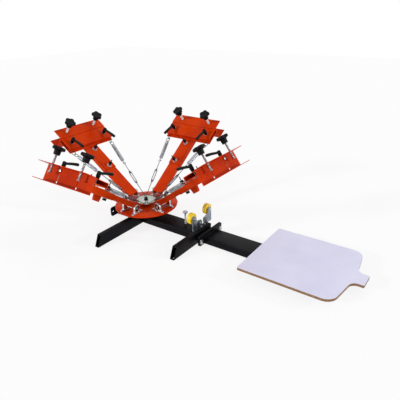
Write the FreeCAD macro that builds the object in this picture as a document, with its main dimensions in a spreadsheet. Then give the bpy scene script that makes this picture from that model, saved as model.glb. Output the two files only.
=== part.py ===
import FreeCAD
import Part
import Sketcher
import math
import os
import re

# Four colour rotary screen printing press for a table top.
# X runs along the base beam to the pallet, Z is up, and the origin is on the table
# below the middle of the turntable. Lengths are in millimetres, angles in degrees.

Vector = FreeCAD.Vector

driving_sizes = {
    # Base beam, a rectangular tube lying on the table
    "beam_width": 114,
    "beam_height": 41,
    "beam_wall": 3,
    "beam_corner": 5,
    "beam_back": 195,
    "beam_front": 447,
    "beam_hole_radius": 3.5,
    "beam_hole_back": 220,
    "beam_hole_back_offset": 7,
    "beam_hole_front": 310,
    "beam_hole_front_offset": 25,
    # Flange plates at both ends of the beam and at the start of the pallet arm
    "flange_thickness": 6,
    "flange_bottom": 5,
    "flange_top": 62,
    "flange_corner": 12,
    "flange_hole_radius": 6,
    "rear_flange_width": 220,
    "rear_hole_spread": 184,
    "rear_hole_height": 33,
    "front_flange_width": 212,
    "front_hole_spread": 180,
    "front_hole_height": 28,
    "flange_bolt_head": 11,
    "flange_bolt_head_height": 7,
    "flange_bolt_tail": 10,
    # Two cross feet of square tube that stand over the beam
    "foot_width": 28,
    "foot_height": 64,
    "foot_wall": 3,
    "foot_slope": 27,
    "foot_screw_radius": 4,
    "foot_screw_inset": 16,
    "rear_foot_near": 402,
    "rear_foot_far": 280,
    "front_foot_place": 409,
    "front_foot_near": 277,
    # Pallet arm and pallet board
    "pallet_arm_end": 1180,
    "pallet_start": 752,
    "pallet_length": 473,
    "pallet_width": 450,
    "pallet_thickness": 14,
    "pallet_corner": 55,
    "pallet_back_corner": 8,
    "neck_width": 86,
    "neck_length": 53,
    "neck_fillet": 29,
    # Post, turntable and hub plate
    "post_plate_length": 90,
    "post_plate_width": 60,
    "post_plate_thickness": 6,
    "post_radius": 24,
    "post_height": 22.7,
    "thrust_gap": 0.3,
    "spindle_radius": 7.5,
    "spindle_nut_radius": 11,
    "spindle_nut_height": 12,
    "spindle_tip": 4,
    "running_clearance": 0.05,
    "disc_radius": 182,
    "disc_thickness": 5,
    "boss_radius": 30,
    "boss_height": 23,
    "hub_plate_radius": 58,
    "hub_plate_thickness": 3,
    "hub_tab_width": 26,
    "hub_tab_reach": 67.5,
    # Bearings of the arms on the turntable
    "pivot_reach": 126,
    "pivot_rise": 28,
    "shaft_radius": 8,
    "shaft_overhang": 2,
    "block_thickness": 12,
    "block_gap": 1,
    "block_radius": 22,
    "block_base_length": 80,
    "block_base_height": 7,
    "block_bolt_spread": 62,
    "block_bolt_radius": 3,
    "block_bolt_head": 6,
    "block_bolt_head_height": 4,
    "block_bolt_tail": 9,
    # Arm, a rectangular tube that hinges on its shaft and stands raised at rest
    "arm_tilt": 36,
    "arm_width": 72,
    "arm_wall": 3,
    "arm_top": 28,
    "arm_bottom": 2,
    "arm_back": 15,
    "arm_length": 440,
    "lobe_depth": 14,
    "lobe_width": 36,
    # Carriage, a sleeve clamped on the arm, with its cross plate and tongue
    "sleeve_clearance": 0.3,
    "sleeve_wall": 3.7,
    "sleeve_start": 200,
    "carriage_end": 486,
    "cross_plate_width": 340,
    "cross_plate_length": 101,
    "cross_plate_thickness": 3,
    "tongue_start": 250,
    "tongue_length": 53,
    "tongue_depth": 31,
    "tongue_taper": 6,
    "tongue_thickness": 12,
    "clamp_bolt_back": 220,
    "clamp_bolt_front": 362,
    "clamp_bolt_radius": 4,
    "clamp_washer_radius": 14,
    "clamp_washer_thickness": 2,
    "clamp_nut_radius": 11,
    "clamp_nut_height": 12,
    "clamp_stud_height": 40,
    "clamp_foot_height": 14,
    # Registration channel between the cross plate and the screen holder
    "channel_length": 86,
    "channel_height": 23,
    "channel_wall": 3,
    "channel_slot_travel": 8,
    "holder_bolt_spread": 140,
    "holder_bolt_rise": 44,
    "holder_bolt_radius": 2,
    "holder_bolt_head": 8,
    "holder_bolt_head_height": 5,
    "holder_bolt_tail": 6,
    # Screen holder, a channel open to the outside
    "holder_width": 341,
    "holder_wall": 3,
    "holder_gap": 0.3,
    "holder_bottom": 27,
    "holder_top": 61,
    "holder_reach": 66,
    "keyhole_drop": 15,
    "keyhole_radius": 5.5,
    "keyhole_clearance": 0.2,
    "holder_side_hole_radius": 3,
    "holder_side_hole_spread": 306,
    "holder_side_hole_rise": 15,
    "slot_clearance": 0.5,
    # Star knobs that press on the screen frame
    "knob_place": 519,
    "knob_spread": 206,
    "knob_radius": 33,
    "knob_start": 108,
    "knob_neck_radius": 17,
    "knob_neck_height": 20,
    "knob_thickness": 22,
    "knob_scallop_radius": 13,
    "knob_scallop_place": 38,
    "knob_screw_radius": 6,
    "knob_foot_radius": 10,
    "knob_foot_height": 6,
    "knob_foot_drop": 33,
    # Clamping levers of the registration channel
    "lever_place": 438,
    "lever_spread": 250,
    "lever_hub_radius": 10,
    "lever_hub_height": 36,
    "lever_seat_gap": 0.3,
    "lever_screw_radius": 4,
    "lever_screw_tail": 6,
    "lever_length": 84,
    "lever_root_radius": 6,
    "lever_tip_radius": 8.5,
    "lever_start_height": 28,
    "lever_slope": 16,
    # Springs with turnbuckles from the hub plate to the cross plate
    "eye_radius": 62,
    "eye_angle": 40.5,
    "eye_hole_radius": 4.5,
    "eye_ring_radius": 9,
    "hook_inset": 7,
    "hook_spread": 300,
    "hook_slot_back": 4.8,
    "hook_slot_front": 3.5,
    "hook_slot_width": 3.8,
    "hook_ring_radius": 11,
    "ring_wire": 2.4,
    "rod_radius": 2,
    "turnbuckle_width": 14,
    "turnbuckle_height": 8,
    "turnbuckle_bar": 3,
    "turnbuckle_end": 10,
    "coil_radius": 9,
    "coil_wire": 2.4,
    "coil_seat_gap": 0.6,
    "small_ring_radius": 5,
    "turnbuckle_start_share": 0.24,
    "turnbuckle_end_share": 0.41,
    "small_ring_share": 0.585,
    "coil_start_share": 0.605,
    "coil_end_share": 0.9,
    # Gate on the front foot that centres a lowered arm
    "gate_plate_thickness": 4,
    "gate_plate_reach": 86,
    "gate_plate_top": 145,
    "gate_plate_shoulder": 128,
    "gate_plate_neck": 53,
    "gate_plate_sill": 112,
    "gate_plate_sill_reach": 43,
    "gate_plate_sill_rise": 6,
    "gate_slot": 20,
    "gate_lug_height": 4,
    "gate_bracket_width": 72,
    "gate_bracket_thickness": 5,
    "gate_bracket_height": 44,
    "gate_bracket_notch": 20,
    "gate_bolt_radius": 3,
    "gate_bolt_head": 7,
    "gate_bolt_head_height": 4,
    "gate_bolt_inner": 17,
    "gate_bolt_inner_rise": 10,
    "gate_bolt_outer": 27,
    "gate_bolt_outer_rise": 36,
    "roller_radius": 30,
    "roller_thickness": 22,
    "roller_gap": 1,
    "roller_rise": 12.5,
    "roller_spacer": 4,
    "roller_spacer_radius": 7,
    "roller_bolt_radius": 4,
    "roller_bolt_head": 8,
    "roller_bolt_head_height": 4,
    "roller_side_gap": 0.3,
    # Height stop on the beam
    "stop_place": 281,
    "stop_offset": 10,
    "stop_radius": 5,
    "stop_top": 117.7,
    "stop_head_radius": 12,
    "stop_head_height": 6,
    "stop_tail": 14,
}
stations = 4
coil_curls = 5
knob_lobes = 5
hexagon = 6
ring_sides = 10
small_hole_sides = 8
quarter_turn = 90
overrun = 1

doc = FreeCAD.newDocument("screen_press")
sheet = doc.addObject("Spreadsheet::Sheet", "sizes")
for row, (size_name, size) in enumerate(driving_sizes.items(), 1):
    sheet.set("A%d" % row, size_name)
    sheet.set("B%d" % row, str(size))
    sheet.setAlias("B%d" % row, size_name)
sheet.set("A%d" % (len(driving_sizes) + 1), "overrun")
sheet.set("B%d" % (len(driving_sizes) + 1), str(overrun))
sheet.setAlias("B%d" % (len(driving_sizes) + 1), "overrun")
doc.recompute()

# Places worked out from the sizes, written as formulas of the sheet
disc_bottom = "(foot_height + post_plate_thickness + post_height + thrust_gap)"
disc_top = "(%s + disc_thickness)" % disc_bottom
pivot_height = "(%s + pivot_rise)" % disc_top
hub_plate_bottom = "(%s + boss_height)" % disc_top
eye_height = "(%s + hub_plate_thickness / 2)" % hub_plate_bottom
pallet_arm_start = "(beam_front + flange_thickness)"
sleeve_half = "(arm_width / 2 + sleeve_clearance + sleeve_wall)"
sleeve_top = "(arm_top + sleeve_clearance + sleeve_wall)"
sleeve_bottom = "(arm_bottom + sleeve_clearance + sleeve_wall)"
cross_plate_top = "(%s + cross_plate_thickness)" % sleeve_top
cross_plate_start = "(carriage_end - cross_plate_length)"
channel_start = "(carriage_end - channel_length)"
channel_top = "(%s + channel_height)" % cross_plate_top
holder_back = "(carriage_end + holder_gap)"
block_inside = "(arm_width / 2 + block_gap)"
block_middle = "(%s + block_thickness / 2)" % block_inside
hook_place = "(%s + hook_inset)" % cross_plate_start
hook_rise = "(%s + cross_plate_thickness / 2)" % sleeve_top
gate_back = "(front_foot_place - gate_bracket_thickness)"
roller_middle = "(%s + roller_gap + roller_radius)" % sleeve_half
roller_height = "(%s + roller_rise)" % pivot_height

# The line of one spring, from its eye in the hub plate to its hook in the cross plate
spring_run = "(pivot_reach + %s * cos(arm_tilt) - %s * sin(arm_tilt) - eye_radius * cos(eye_angle))" % (
    hook_place, hook_rise)
spring_side = "(hook_spread / 2 - eye_radius * sin(eye_angle))"
spring_climb = "(%s + %s * sin(arm_tilt) + %s * cos(arm_tilt) - %s)" % (
    pivot_height, hook_place, hook_rise, eye_height)
spring_flat = "hypot(%s; %s)" % (spring_run, spring_side)
spring_length = "hypot(%s; %s)" % (spring_flat, spring_climb)
spring_azimuth = "atan2(%s; %s)" % (spring_side, spring_run)
spring_slope = "atan2(%s; %s)" % (spring_climb, spring_flat)


def sized(text):
    """Name the sheet before each size in a formula."""
    def lookup(match):
        word = match.group()
        return "sizes." + word if word == "overrun" or word in driving_sizes else word
    return re.sub(r"[a-z][a-z_]*", lookup, str(text))


def bind(item, **formulas):
    for name, text in formulas.items():
        item.setExpression(name, sized(text))
    return item


def place(item, x="0", y="0", z="0", turn="0", tilt="0"):
    """Put an object at x, y, z, tilted about Y and then turned about Z."""
    item.setExpression("Placement", sized(
        "create(<<placement>>; create(<<vector>>; %s; %s; %s);"
        " create(<<rotation>>; create(<<vector>>; 0; 0; 1); %s) *"
        " create(<<rotation>>; create(<<vector>>; 0; 1; 0); %s))" % (x, y, z, turn, tilt)))
    return item


def place_on_arm(item, station):
    """Put an object that is drawn along X from the hinge onto one raised arm."""
    turn = station * quarter_turn
    return place(item, "pivot_reach * cos(%s)" % turn, "pivot_reach * sin(%s)" % turn,
                 pivot_height, turn, "-arm_tilt")


def place_on_spring(item, station, side):
    """Put an object that is drawn along X from the hub plate's eye onto one spring."""
    turn = station * quarter_turn
    angle = "(%s + %s * eye_angle)" % (turn, side)
    return place(item, "eye_radius * cos%s" % angle, "eye_radius * sin%s" % angle, eye_height,
                 "%s deg + %s * %s" % (turn, side, spring_azimuth), "-" + spring_slope)


def box(name, x_start, x_end, y_start, y_end, z_start, z_end):
    item = doc.addObject("Part::Box", name)
    bind(item, Length="%s - (%s)" % (x_end, x_start), Width="%s - (%s)" % (y_end, y_start),
         Height="%s - (%s)" % (z_end, z_start))
    return place(item, x_start, y_start, z_start)


axis_turns = {"x": ("0", "90"), "y": ("90", "90"), "z": ("0", "0")}


def cylinder(name, radius, length, x="0", y="0", z="0", axis="z"):
    item = doc.addObject("Part::Cylinder", name)
    bind(item, Radius=radius, Height=length)
    turn, tilt = axis_turns[axis]
    return place(item, x, y, z, turn, tilt)


def hexagon_bar(name, radius, length, x="0", y="0", z="0", axis="z"):
    item = doc.addObject("Part::Prism", name)
    item.Polygon = hexagon
    bind(item, Circumradius=radius, Height=length)
    turn, tilt = axis_turns[axis]
    return place(item, x, y, z, turn, tilt)


def ring(name, radius, wire, x):
    """A flat faceted ring standing in the XZ plane, its middle at x."""
    outer = hexagon_bar(name + "_outer", "%s + %s / 2" % (radius, wire), wire, x, "-%s / 2" % wire, "0", "y")
    inner = hexagon_bar(name + "_inner", "%s - %s / 2" % (radius, wire), "%s + 2 * overrun" % wire, x,
                        "-%s / 2 - overrun" % wire, "0", "y")
    outer.Polygon = ring_sides
    inner.Polygon = ring_sides
    return cut(name, outer, [inner])


def fuse(name, items):
    item = doc.addObject("Part::MultiFuse", name)
    item.Shapes = items
    item.Refine = True
    return item


def cut(name, base, tools):
    item = doc.addObject("Part::Cut", name)
    item.Base = base
    item.Tool = tools[0] if len(tools) == 1 else group(name + "_tools", tools)
    return item


def group(name, items):
    item = doc.addObject("Part::Compound", name)
    item.Links = items
    return item


def new_body(name):
    return doc.addObject("PartDesign::Body", name)


def new_sketch(body, role, name, offset="0"):
    """A sketch on one of the body's own origin planes, moved along its normal."""
    sketch = body.newObject("Sketcher::SketchObject", name)
    plane = [feature for feature in body.Origin.OriginFeatures if feature.Role == role][0]
    sketch.AttachmentSupport = [(plane, "")]
    sketch.MapMode = "FlatFace"
    sketch.setExpression("AttachmentOffset.Base.z", sized(offset))
    return sketch


def fix_point(sketch, geometry, point, u, v):
    for kind, text in (("DistanceX", u), ("DistanceY", v)):
        row = sketch.addConstraint(Sketcher.Constraint(kind, -1, 1, geometry, point, 1.0))
        sketch.setExpression("Constraints[%d]" % row, sized(text))


def draw_outline(sketch, points):
    """A closed outline of straight lines through points that are pairs of formulas."""
    first = sketch.GeometryCount
    count = len(points)
    corners = [Vector(math.cos(math.tau * step / count), math.sin(math.tau * step / count), 0)
               for step in range(count)]
    for step in range(count):
        sketch.addGeometry(Part.LineSegment(corners[step], corners[(step + 1) % count]), False)
    for step in range(count):
        following = first + (step + 1) % count
        sketch.addConstraint(Sketcher.Constraint("Coincident", first + step, 2, following, 1))
    for step, (u, v) in enumerate(points):
        fix_point(sketch, first + step, 1, u, v)


def draw_rectangle(sketch, left, right, low, high):
    draw_outline(sketch, [(left, low), (right, low), (right, high), (left, high)])


def draw_star(sketch, u, v, radii, sides, first="0"):
    """A closed outline around u, v, its corners at the given radii in turn."""
    corners = sides * len(radii)
    points = []
    for corner in range(corners):
        angle = "(%s + %s * 4 * %s / %s)" % (first, corner, quarter_turn, corners)
        radius = radii[corner % len(radii)]
        points.append(("%s + (%s) * cos%s" % (u, radius, angle), "%s + (%s) * sin%s" % (v, radius, angle)))
    draw_outline(sketch, points)


def draw_small_hole(sketch, u, v, radius):
    """A faceted hole that a round bar of the radius passes."""
    draw_star(sketch, u, v, ["(%s) / cos(180 / %s)" % (radius, small_hole_sides)], small_hole_sides)


def draw_circle(sketch, u, v, radius):
    row = sketch.addGeometry(Part.Circle(Vector(0, 0, 0), Vector(0, 0, 1), 1.0), False)
    fix_point(sketch, row, 3, u, v)
    rule = sketch.addConstraint(Sketcher.Constraint("Radius", row, 1.0))
    sketch.setExpression("Constraints[%d]" % rule, sized(radius))


def pad(body, name, sketch, length, both_ways=False):
    feature = body.newObject("PartDesign::Pad", name)
    feature.Profile = sketch
    feature.SideType = "Symmetric" if both_ways else "One side"
    bind(feature, Length=length)
    return feature


def pocket(body, name, sketch, length=None, both_ways=False, forward=False):
    """Cut a sketch out of the body, through all of it where no length is given."""
    feature = body.newObject("PartDesign::Pocket", name)
    feature.Profile = sketch
    feature.SideType = "Symmetric" if both_ways else "One side"
    feature.Reversed = forward
    if length is None:
        feature.Type = "ThroughAll"
    else:
        bind(feature, Length=length)
    return feature


def fillet(body, name, base, radius, wanted):
    """Round the straight edges of the base whose middle and direction are wanted."""
    doc.recompute()
    edges = []
    for row, edge in enumerate(base.Shape.Edges, 1):
        if edge.Curve.TypeId == "Part::GeomLine" and wanted(edge.CenterOfMass, edge.tangentAt(edge.FirstParameter)):
            edges.append("Edge%d" % row)
    feature = body.newObject("PartDesign::Fillet", name)
    feature.Base = (base, edges)
    bind(feature, Radius=radius)
    return feature


def along(direction, axis):
    return abs(abs(direction.dot(axis)) - 1) < 0.001


def flange(body, name, start, width, hole_spread, hole_height):
    """A flange plate across the end of a beam, with two bolt holes in its ears."""
    face = new_sketch(body, "YZ_Plane", name + "_face", start)
    draw_rectangle(face, "-%s / 2" % width, "%s / 2" % width, "flange_bottom", "flange_top")
    for side in ("-1", "1"):
        draw_circle(face, "%s * %s / 2" % (side, hole_spread), hole_height, "flange_hole_radius")
    plate = pad(body, name, face, "flange_thickness")
    half = sheet.get(width) / 2
    return fillet(body, name + "_corners", plate, "flange_corner",
                  lambda middle, way: along(way, Vector(1, 0, 0)) and abs(abs(middle.y) - half) < 0.001)


def beam_tube(body, name, start, end):
    """Rectangular tube lying on the table, still solid inside."""
    section = new_sketch(body, "YZ_Plane", name + "_section", start)
    draw_rectangle(section, "-beam_width / 2", "beam_width / 2", "0", "beam_height")
    tube = pad(body, name, section, "%s - (%s)" % (end, start))
    return fillet(body, name + "_corners", tube, "beam_corner",
                  lambda middle, way: along(way, Vector(1, 0, 0)))


def beam_bore(body, name, start):
    bore = new_sketch(body, "YZ_Plane", name + "_section", start + " - overrun")
    draw_rectangle(bore, "-beam_width / 2 + beam_wall", "beam_width / 2 - beam_wall",
                   "beam_wall", "beam_height - beam_wall")
    return pocket(body, name, bore, None, False, True)


def make_base_beam():
    body = new_body("base_beam")
    beam_tube(body, "beam_tube", "-beam_back", "beam_front")
    flange(body, "rear_flange", "-beam_back", "rear_flange_width", "rear_hole_spread", "rear_hole_height")
    flange(body, "front_flange", "beam_front", "front_flange_width", "front_hole_spread", "front_hole_height")
    beam_bore(body, "beam_bore", "-beam_back")
    holes = new_sketch(body, "XY_Plane", "top_holes", "beam_height + overrun")
    draw_circle(holes, "beam_hole_back", "-beam_hole_back_offset", "beam_hole_radius")
    draw_circle(holes, "beam_hole_front", "-beam_hole_front_offset", "beam_hole_radius")
    draw_circle(holes, "stop_place", "stop_offset", "stop_radius + running_clearance")
    pocket(body, "top_hole_cut", holes, "beam_wall + 2 * overrun")
    return body


def make_pallet_arm():
    body = new_body("pallet_arm")
    beam_tube(body, "arm_tube", pallet_arm_start, "pallet_arm_end")
    flange(body, "arm_flange", pallet_arm_start, "front_flange_width", "front_hole_spread", "front_hole_height")
    beam_bore(body, "arm_bore", pallet_arm_start)
    return body


def make_foot(name, centre, outline, screws):
    """A cross foot: its side view, hollowed from end to end, with screw holes in its floor."""
    body = new_body(name)
    side_view = new_sketch(body, "YZ_Plane", name + "_side")
    draw_outline(side_view, outline)
    pad(body, name + "_bar", side_view, "foot_width", True)
    bore = new_sketch(body, "XZ_Plane", name + "_bore")
    draw_rectangle(bore, "-foot_width / 2 + foot_wall", "foot_width / 2 - foot_wall",
                   "foot_wall", "foot_height - foot_wall")
    pocket(body, name + "_hollow", bore, "4 * (rear_foot_near + rear_foot_far)", True)
    holes = new_sketch(body, "XY_Plane", name + "_screws", "-overrun")
    for screw in screws:
        draw_circle(holes, "0", screw, "foot_screw_radius")
    pocket(body, name + "_screw_holes", holes, "foot_wall + 2 * overrun", False, True)
    place(body, centre)
    return body


def make_rear_foot():
    return make_foot("rear_foot", "0", [
        ("-rear_foot_near", "0"), ("-beam_width / 2", "0"), ("-beam_width / 2", "beam_height"),
        ("beam_width / 2", "beam_height"), ("beam_width / 2", "0"), ("rear_foot_far", "0"),
        ("rear_foot_far - foot_slope", "foot_height"), ("-rear_foot_near + foot_slope", "foot_height"),
    ], ["-rear_foot_near + foot_screw_inset", "rear_foot_far - foot_screw_inset"])


def make_front_foot():
    """The front foot reaches to the near side only, and carries the bracket of the gate."""
    body = make_foot("front_foot", "front_foot_place", [
        ("-front_foot_near", "0"), ("-beam_width / 2", "0"), ("-beam_width / 2", "beam_height"),
        ("beam_width / 2", "beam_height"), ("beam_width / 2", "foot_height"),
        ("-front_foot_near + foot_slope", "foot_height"),
    ], ["-front_foot_near + foot_screw_inset"])
    bracket = new_sketch(body, "YZ_Plane", "gate_bracket_face", "-gate_bracket_thickness")
    notch_floor = "foot_height + gate_bracket_notch"
    bracket_top = "foot_height + gate_bracket_height"
    draw_outline(bracket, [
        ("-gate_bracket_width / 2", "foot_height"), ("gate_bracket_width / 2", "foot_height"),
        ("gate_bracket_width / 2", bracket_top), ("gate_slot / 2", bracket_top),
        ("gate_slot / 2", notch_floor), ("-gate_slot / 2", notch_floor),
        ("-gate_slot / 2", bracket_top), ("-gate_bracket_width / 2", bracket_top),
    ])
    for side in ("-1", "1"):
        for reach, rise in gate_bolt_places:
            draw_small_hole(bracket, "%s * %s" % (side, reach), "foot_height + " + rise,
                            "gate_bolt_radius + running_clearance")
    pad(body, "gate_bracket", bracket, "gate_bracket_thickness")
    return body


def make_flange_bolts():
    """Two bolts that hold the pallet arm's flange to the beam's, each with a nut behind them."""
    bolts = []
    length = "2 * flange_thickness + flange_bolt_tail"
    for side in ("-1", "1"):
        across = "%s * front_hole_spread / 2" % side
        shank = hexagon_bar("shank", "flange_hole_radius - running_clearance", length,
                            "beam_front - flange_bolt_tail", across, "front_hole_height", "x")
        head = hexagon_bar("head", "flange_bolt_head", "flange_bolt_head_height",
                           pallet_arm_start + " + flange_thickness", across, "front_hole_height", "x")
        nut = hexagon_bar("nut", "flange_bolt_head", "flange_bolt_head_height",
                          "beam_front - flange_bolt_head_height", across, "front_hole_height", "x")
        bolts.append(fuse("flange_bolt", [shank, head, nut]))
    return group("flange_bolts", bolts)


def make_pallet():
    body = new_body("pallet")
    board = new_sketch(body, "XY_Plane", "board_outline", "beam_height")
    board_end = "pallet_start + pallet_length"
    draw_outline(board, [
        ("pallet_start", "-pallet_width / 2"), (board_end, "-pallet_width / 2"),
        (board_end, "-neck_width / 2"), (board_end + " + neck_length", "-neck_width / 2"),
        (board_end + " + neck_length", "neck_width / 2"), (board_end, "neck_width / 2"),
        (board_end, "pallet_width / 2"), ("pallet_start", "pallet_width / 2"),
    ])
    slab = pad(body, "board", board, "pallet_thickness")
    end = sheet.get("pallet_start") + sheet.get("pallet_length")
    half = sheet.get("pallet_width") / 2
    neck = sheet.get("neck_width") / 2
    start = sheet.get("pallet_start")

    def at(x, y):
        return lambda middle, way: (along(way, Vector(0, 0, 1)) and abs(middle.x - x) < 0.001
                                    and abs(abs(middle.y) - y) < 0.001)
    slab = fillet(body, "board_corners", slab, "pallet_corner", at(end, half))
    slab = fillet(body, "neck_fillets", slab, "neck_fillet", at(end, neck))
    fillet(body, "back_corners", slab, "pallet_back_corner", at(start, half))
    return body


def make_center_post():
    """Post on the rear foot, with the spindle that the turntable runs on."""
    top = "(%s + hub_plate_thickness + thrust_gap)" % hub_plate_bottom
    plate = box("post_plate", "-post_plate_width / 2", "post_plate_width / 2", "-post_plate_length / 2",
                "post_plate_length / 2", "foot_height", "foot_height + post_plate_thickness")
    post = cylinder("post", "post_radius", "post_height", "0", "0", "foot_height + post_plate_thickness")
    spindle = cylinder("spindle", "spindle_radius", top + " + spindle_nut_height + spindle_tip - foot_height",
                       "0", "0", "foot_height")
    nut = hexagon_bar("spindle_nut", "spindle_nut_radius", "spindle_nut_height", "0", "0", top)
    return fuse("center_post", [plate, post, spindle, nut])


def make_turntable():
    disc = cylinder("disc", "disc_radius", "disc_thickness", "0", "0", disc_bottom)
    boss = cylinder("boss", "boss_radius", "boss_height", "0", "0", disc_top)
    bore = cylinder("bore", "spindle_radius + running_clearance",
                    "disc_thickness + boss_height + 2 * overrun", "0", "0", disc_bottom + " - overrun")
    return cut("turntable", fuse("disc_and_boss", [disc, boss]), [bore])


def make_hub_plate():
    """Round plate with a tab on each diagonal, and in each tab a hole for two spring eyes."""
    plate = cylinder("plate", "hub_plate_radius", "hub_plate_thickness", "0", "0", hub_plate_bottom)
    tabs = []
    holes = [cylinder("hub_bore", "spindle_radius + running_clearance",
                      "hub_plate_thickness + 2 * overrun", "0", "0", hub_plate_bottom + " - overrun")]
    for station in range(stations):
        tab = doc.addObject("Part::Box", "tab")
        bind(tab, Length="hub_tab_reach", Width="hub_tab_width", Height="hub_plate_thickness")
        angle = "(%s * %s + %s / 2)" % (station, quarter_turn, quarter_turn)
        place(tab, "hub_tab_width / 2 * sin%s" % angle, "-hub_tab_width / 2 * cos%s" % angle,
              hub_plate_bottom, angle)
        tabs.append(tab)
        for side in ("-1", "1"):
            angle = "(%s * %s + %s * eye_angle)" % (station, quarter_turn, side)
            hole = hexagon_bar("eye_hole", "eye_hole_radius / cos(180 / %s)" % small_hole_sides,
                               "hub_plate_thickness + 2 * overrun", "eye_radius * cos%s" % angle,
                               "eye_radius * sin%s" % angle, hub_plate_bottom + " - overrun")
            hole.Polygon = small_hole_sides
            holes.append(hole)
    return cut("hub_plate", fuse("plate_and_tabs", [plate] + tabs), holes)


def make_pillow_blocks():
    """Two bearings for each arm's shaft, bolted on the turntable."""
    blocks = []
    for station in range(stations):
        for side in (-1, 1):
            block = new_body("block")
            outline = new_sketch(block, "XZ_Plane", "block_outline")
            chamfer = "block_radius * tan(%s / 4)" % quarter_turn
            foot_top = disc_top + " + block_base_height"
            draw_outline(outline, [
                ("-block_base_length / 2", disc_top), ("block_base_length / 2", disc_top),
                ("block_base_length / 2", foot_top), ("block_radius", foot_top),
                ("block_radius", "%s + %s" % (pivot_height, chamfer)),
                (chamfer, "%s + block_radius" % pivot_height), ("-" + chamfer, "%s + block_radius" % pivot_height),
                ("-block_radius", "%s + %s" % (pivot_height, chamfer)), ("-block_radius", foot_top),
                ("-block_base_length / 2", foot_top),
            ])
            draw_circle(outline, "0", pivot_height, "shaft_radius + running_clearance")
            pad(block, "block_pad", outline, "block_thickness", True)
            place(block, "pivot_reach", "%s * %s" % (side, block_middle))
            block = group("placed_block", [block])
            blocks.append(place(block, turn=station * quarter_turn))
    return group("pillow_blocks", blocks)


def make_pillow_bolts():
    """Bolt heads on the bearings' feet, with nuts and tips below the turntable."""
    bolts = []
    for station in range(stations):
        for side in (-1, 1):
            for step in (-1, 1):
                reach = "pivot_reach + %d * block_bolt_spread / 2" % step
                across = "%d * %s" % (side, block_middle)
                head = hexagon_bar("head", "block_bolt_head", "block_bolt_head_height", reach, across,
                                   disc_top + " + block_base_height")
                nut = hexagon_bar("nut", "block_bolt_head", "block_bolt_head_height", reach, across,
                                  disc_bottom + " - block_bolt_head_height")
                tip = hexagon_bar("tip", "block_bolt_radius", "block_bolt_tail - block_bolt_head_height", reach,
                                  across, disc_bottom + " - block_bolt_tail")
                bolt = group("block_bolt", [head, nut, tip])
                bolts.append(place(bolt, turn=station * quarter_turn))
    return group("pillow_bolts", bolts)


def make_arm(station):
    """Rectangular tube whose sides reach down in lobes around the hinge shaft."""
    body = new_body("arm_channel")
    side_view = new_sketch(body, "XZ_Plane", "arm_side")
    draw_outline(side_view, [
        ("-arm_back", "arm_top"), ("-arm_back", "-arm_bottom"), ("-lobe_width / 4", "-lobe_depth"),
        ("lobe_width / 4", "-lobe_depth"), ("3 * lobe_width / 4", "-arm_bottom"),
        ("arm_length", "-arm_bottom"), ("arm_length", "arm_top"),
    ])
    pad(body, "arm_bar", side_view, "arm_width", True)
    inside = new_sketch(body, "XZ_Plane", "arm_inside")
    ceiling = "arm_top - arm_wall"
    floor = "-arm_bottom + arm_wall"
    tube_start = "3 * lobe_width / 4"
    draw_outline(inside, [
        ("-arm_back - overrun", "-lobe_depth - overrun"), (tube_start, "-lobe_depth - overrun"),
        (tube_start, floor), ("arm_length + overrun", floor), ("arm_length + overrun", ceiling),
        ("-arm_back - overrun", ceiling),
    ])
    pocket(body, "arm_hollow", inside, "arm_width - 2 * arm_wall", True)
    half = "(%s + block_thickness + shaft_overhang)" % block_inside
    shaft = cylinder("shaft", "shaft_radius", "2 * " + half, "0", "-" + half, "0", "y")
    return place_on_arm(fuse("arm_%d" % station, [body, shaft]), station)


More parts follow.
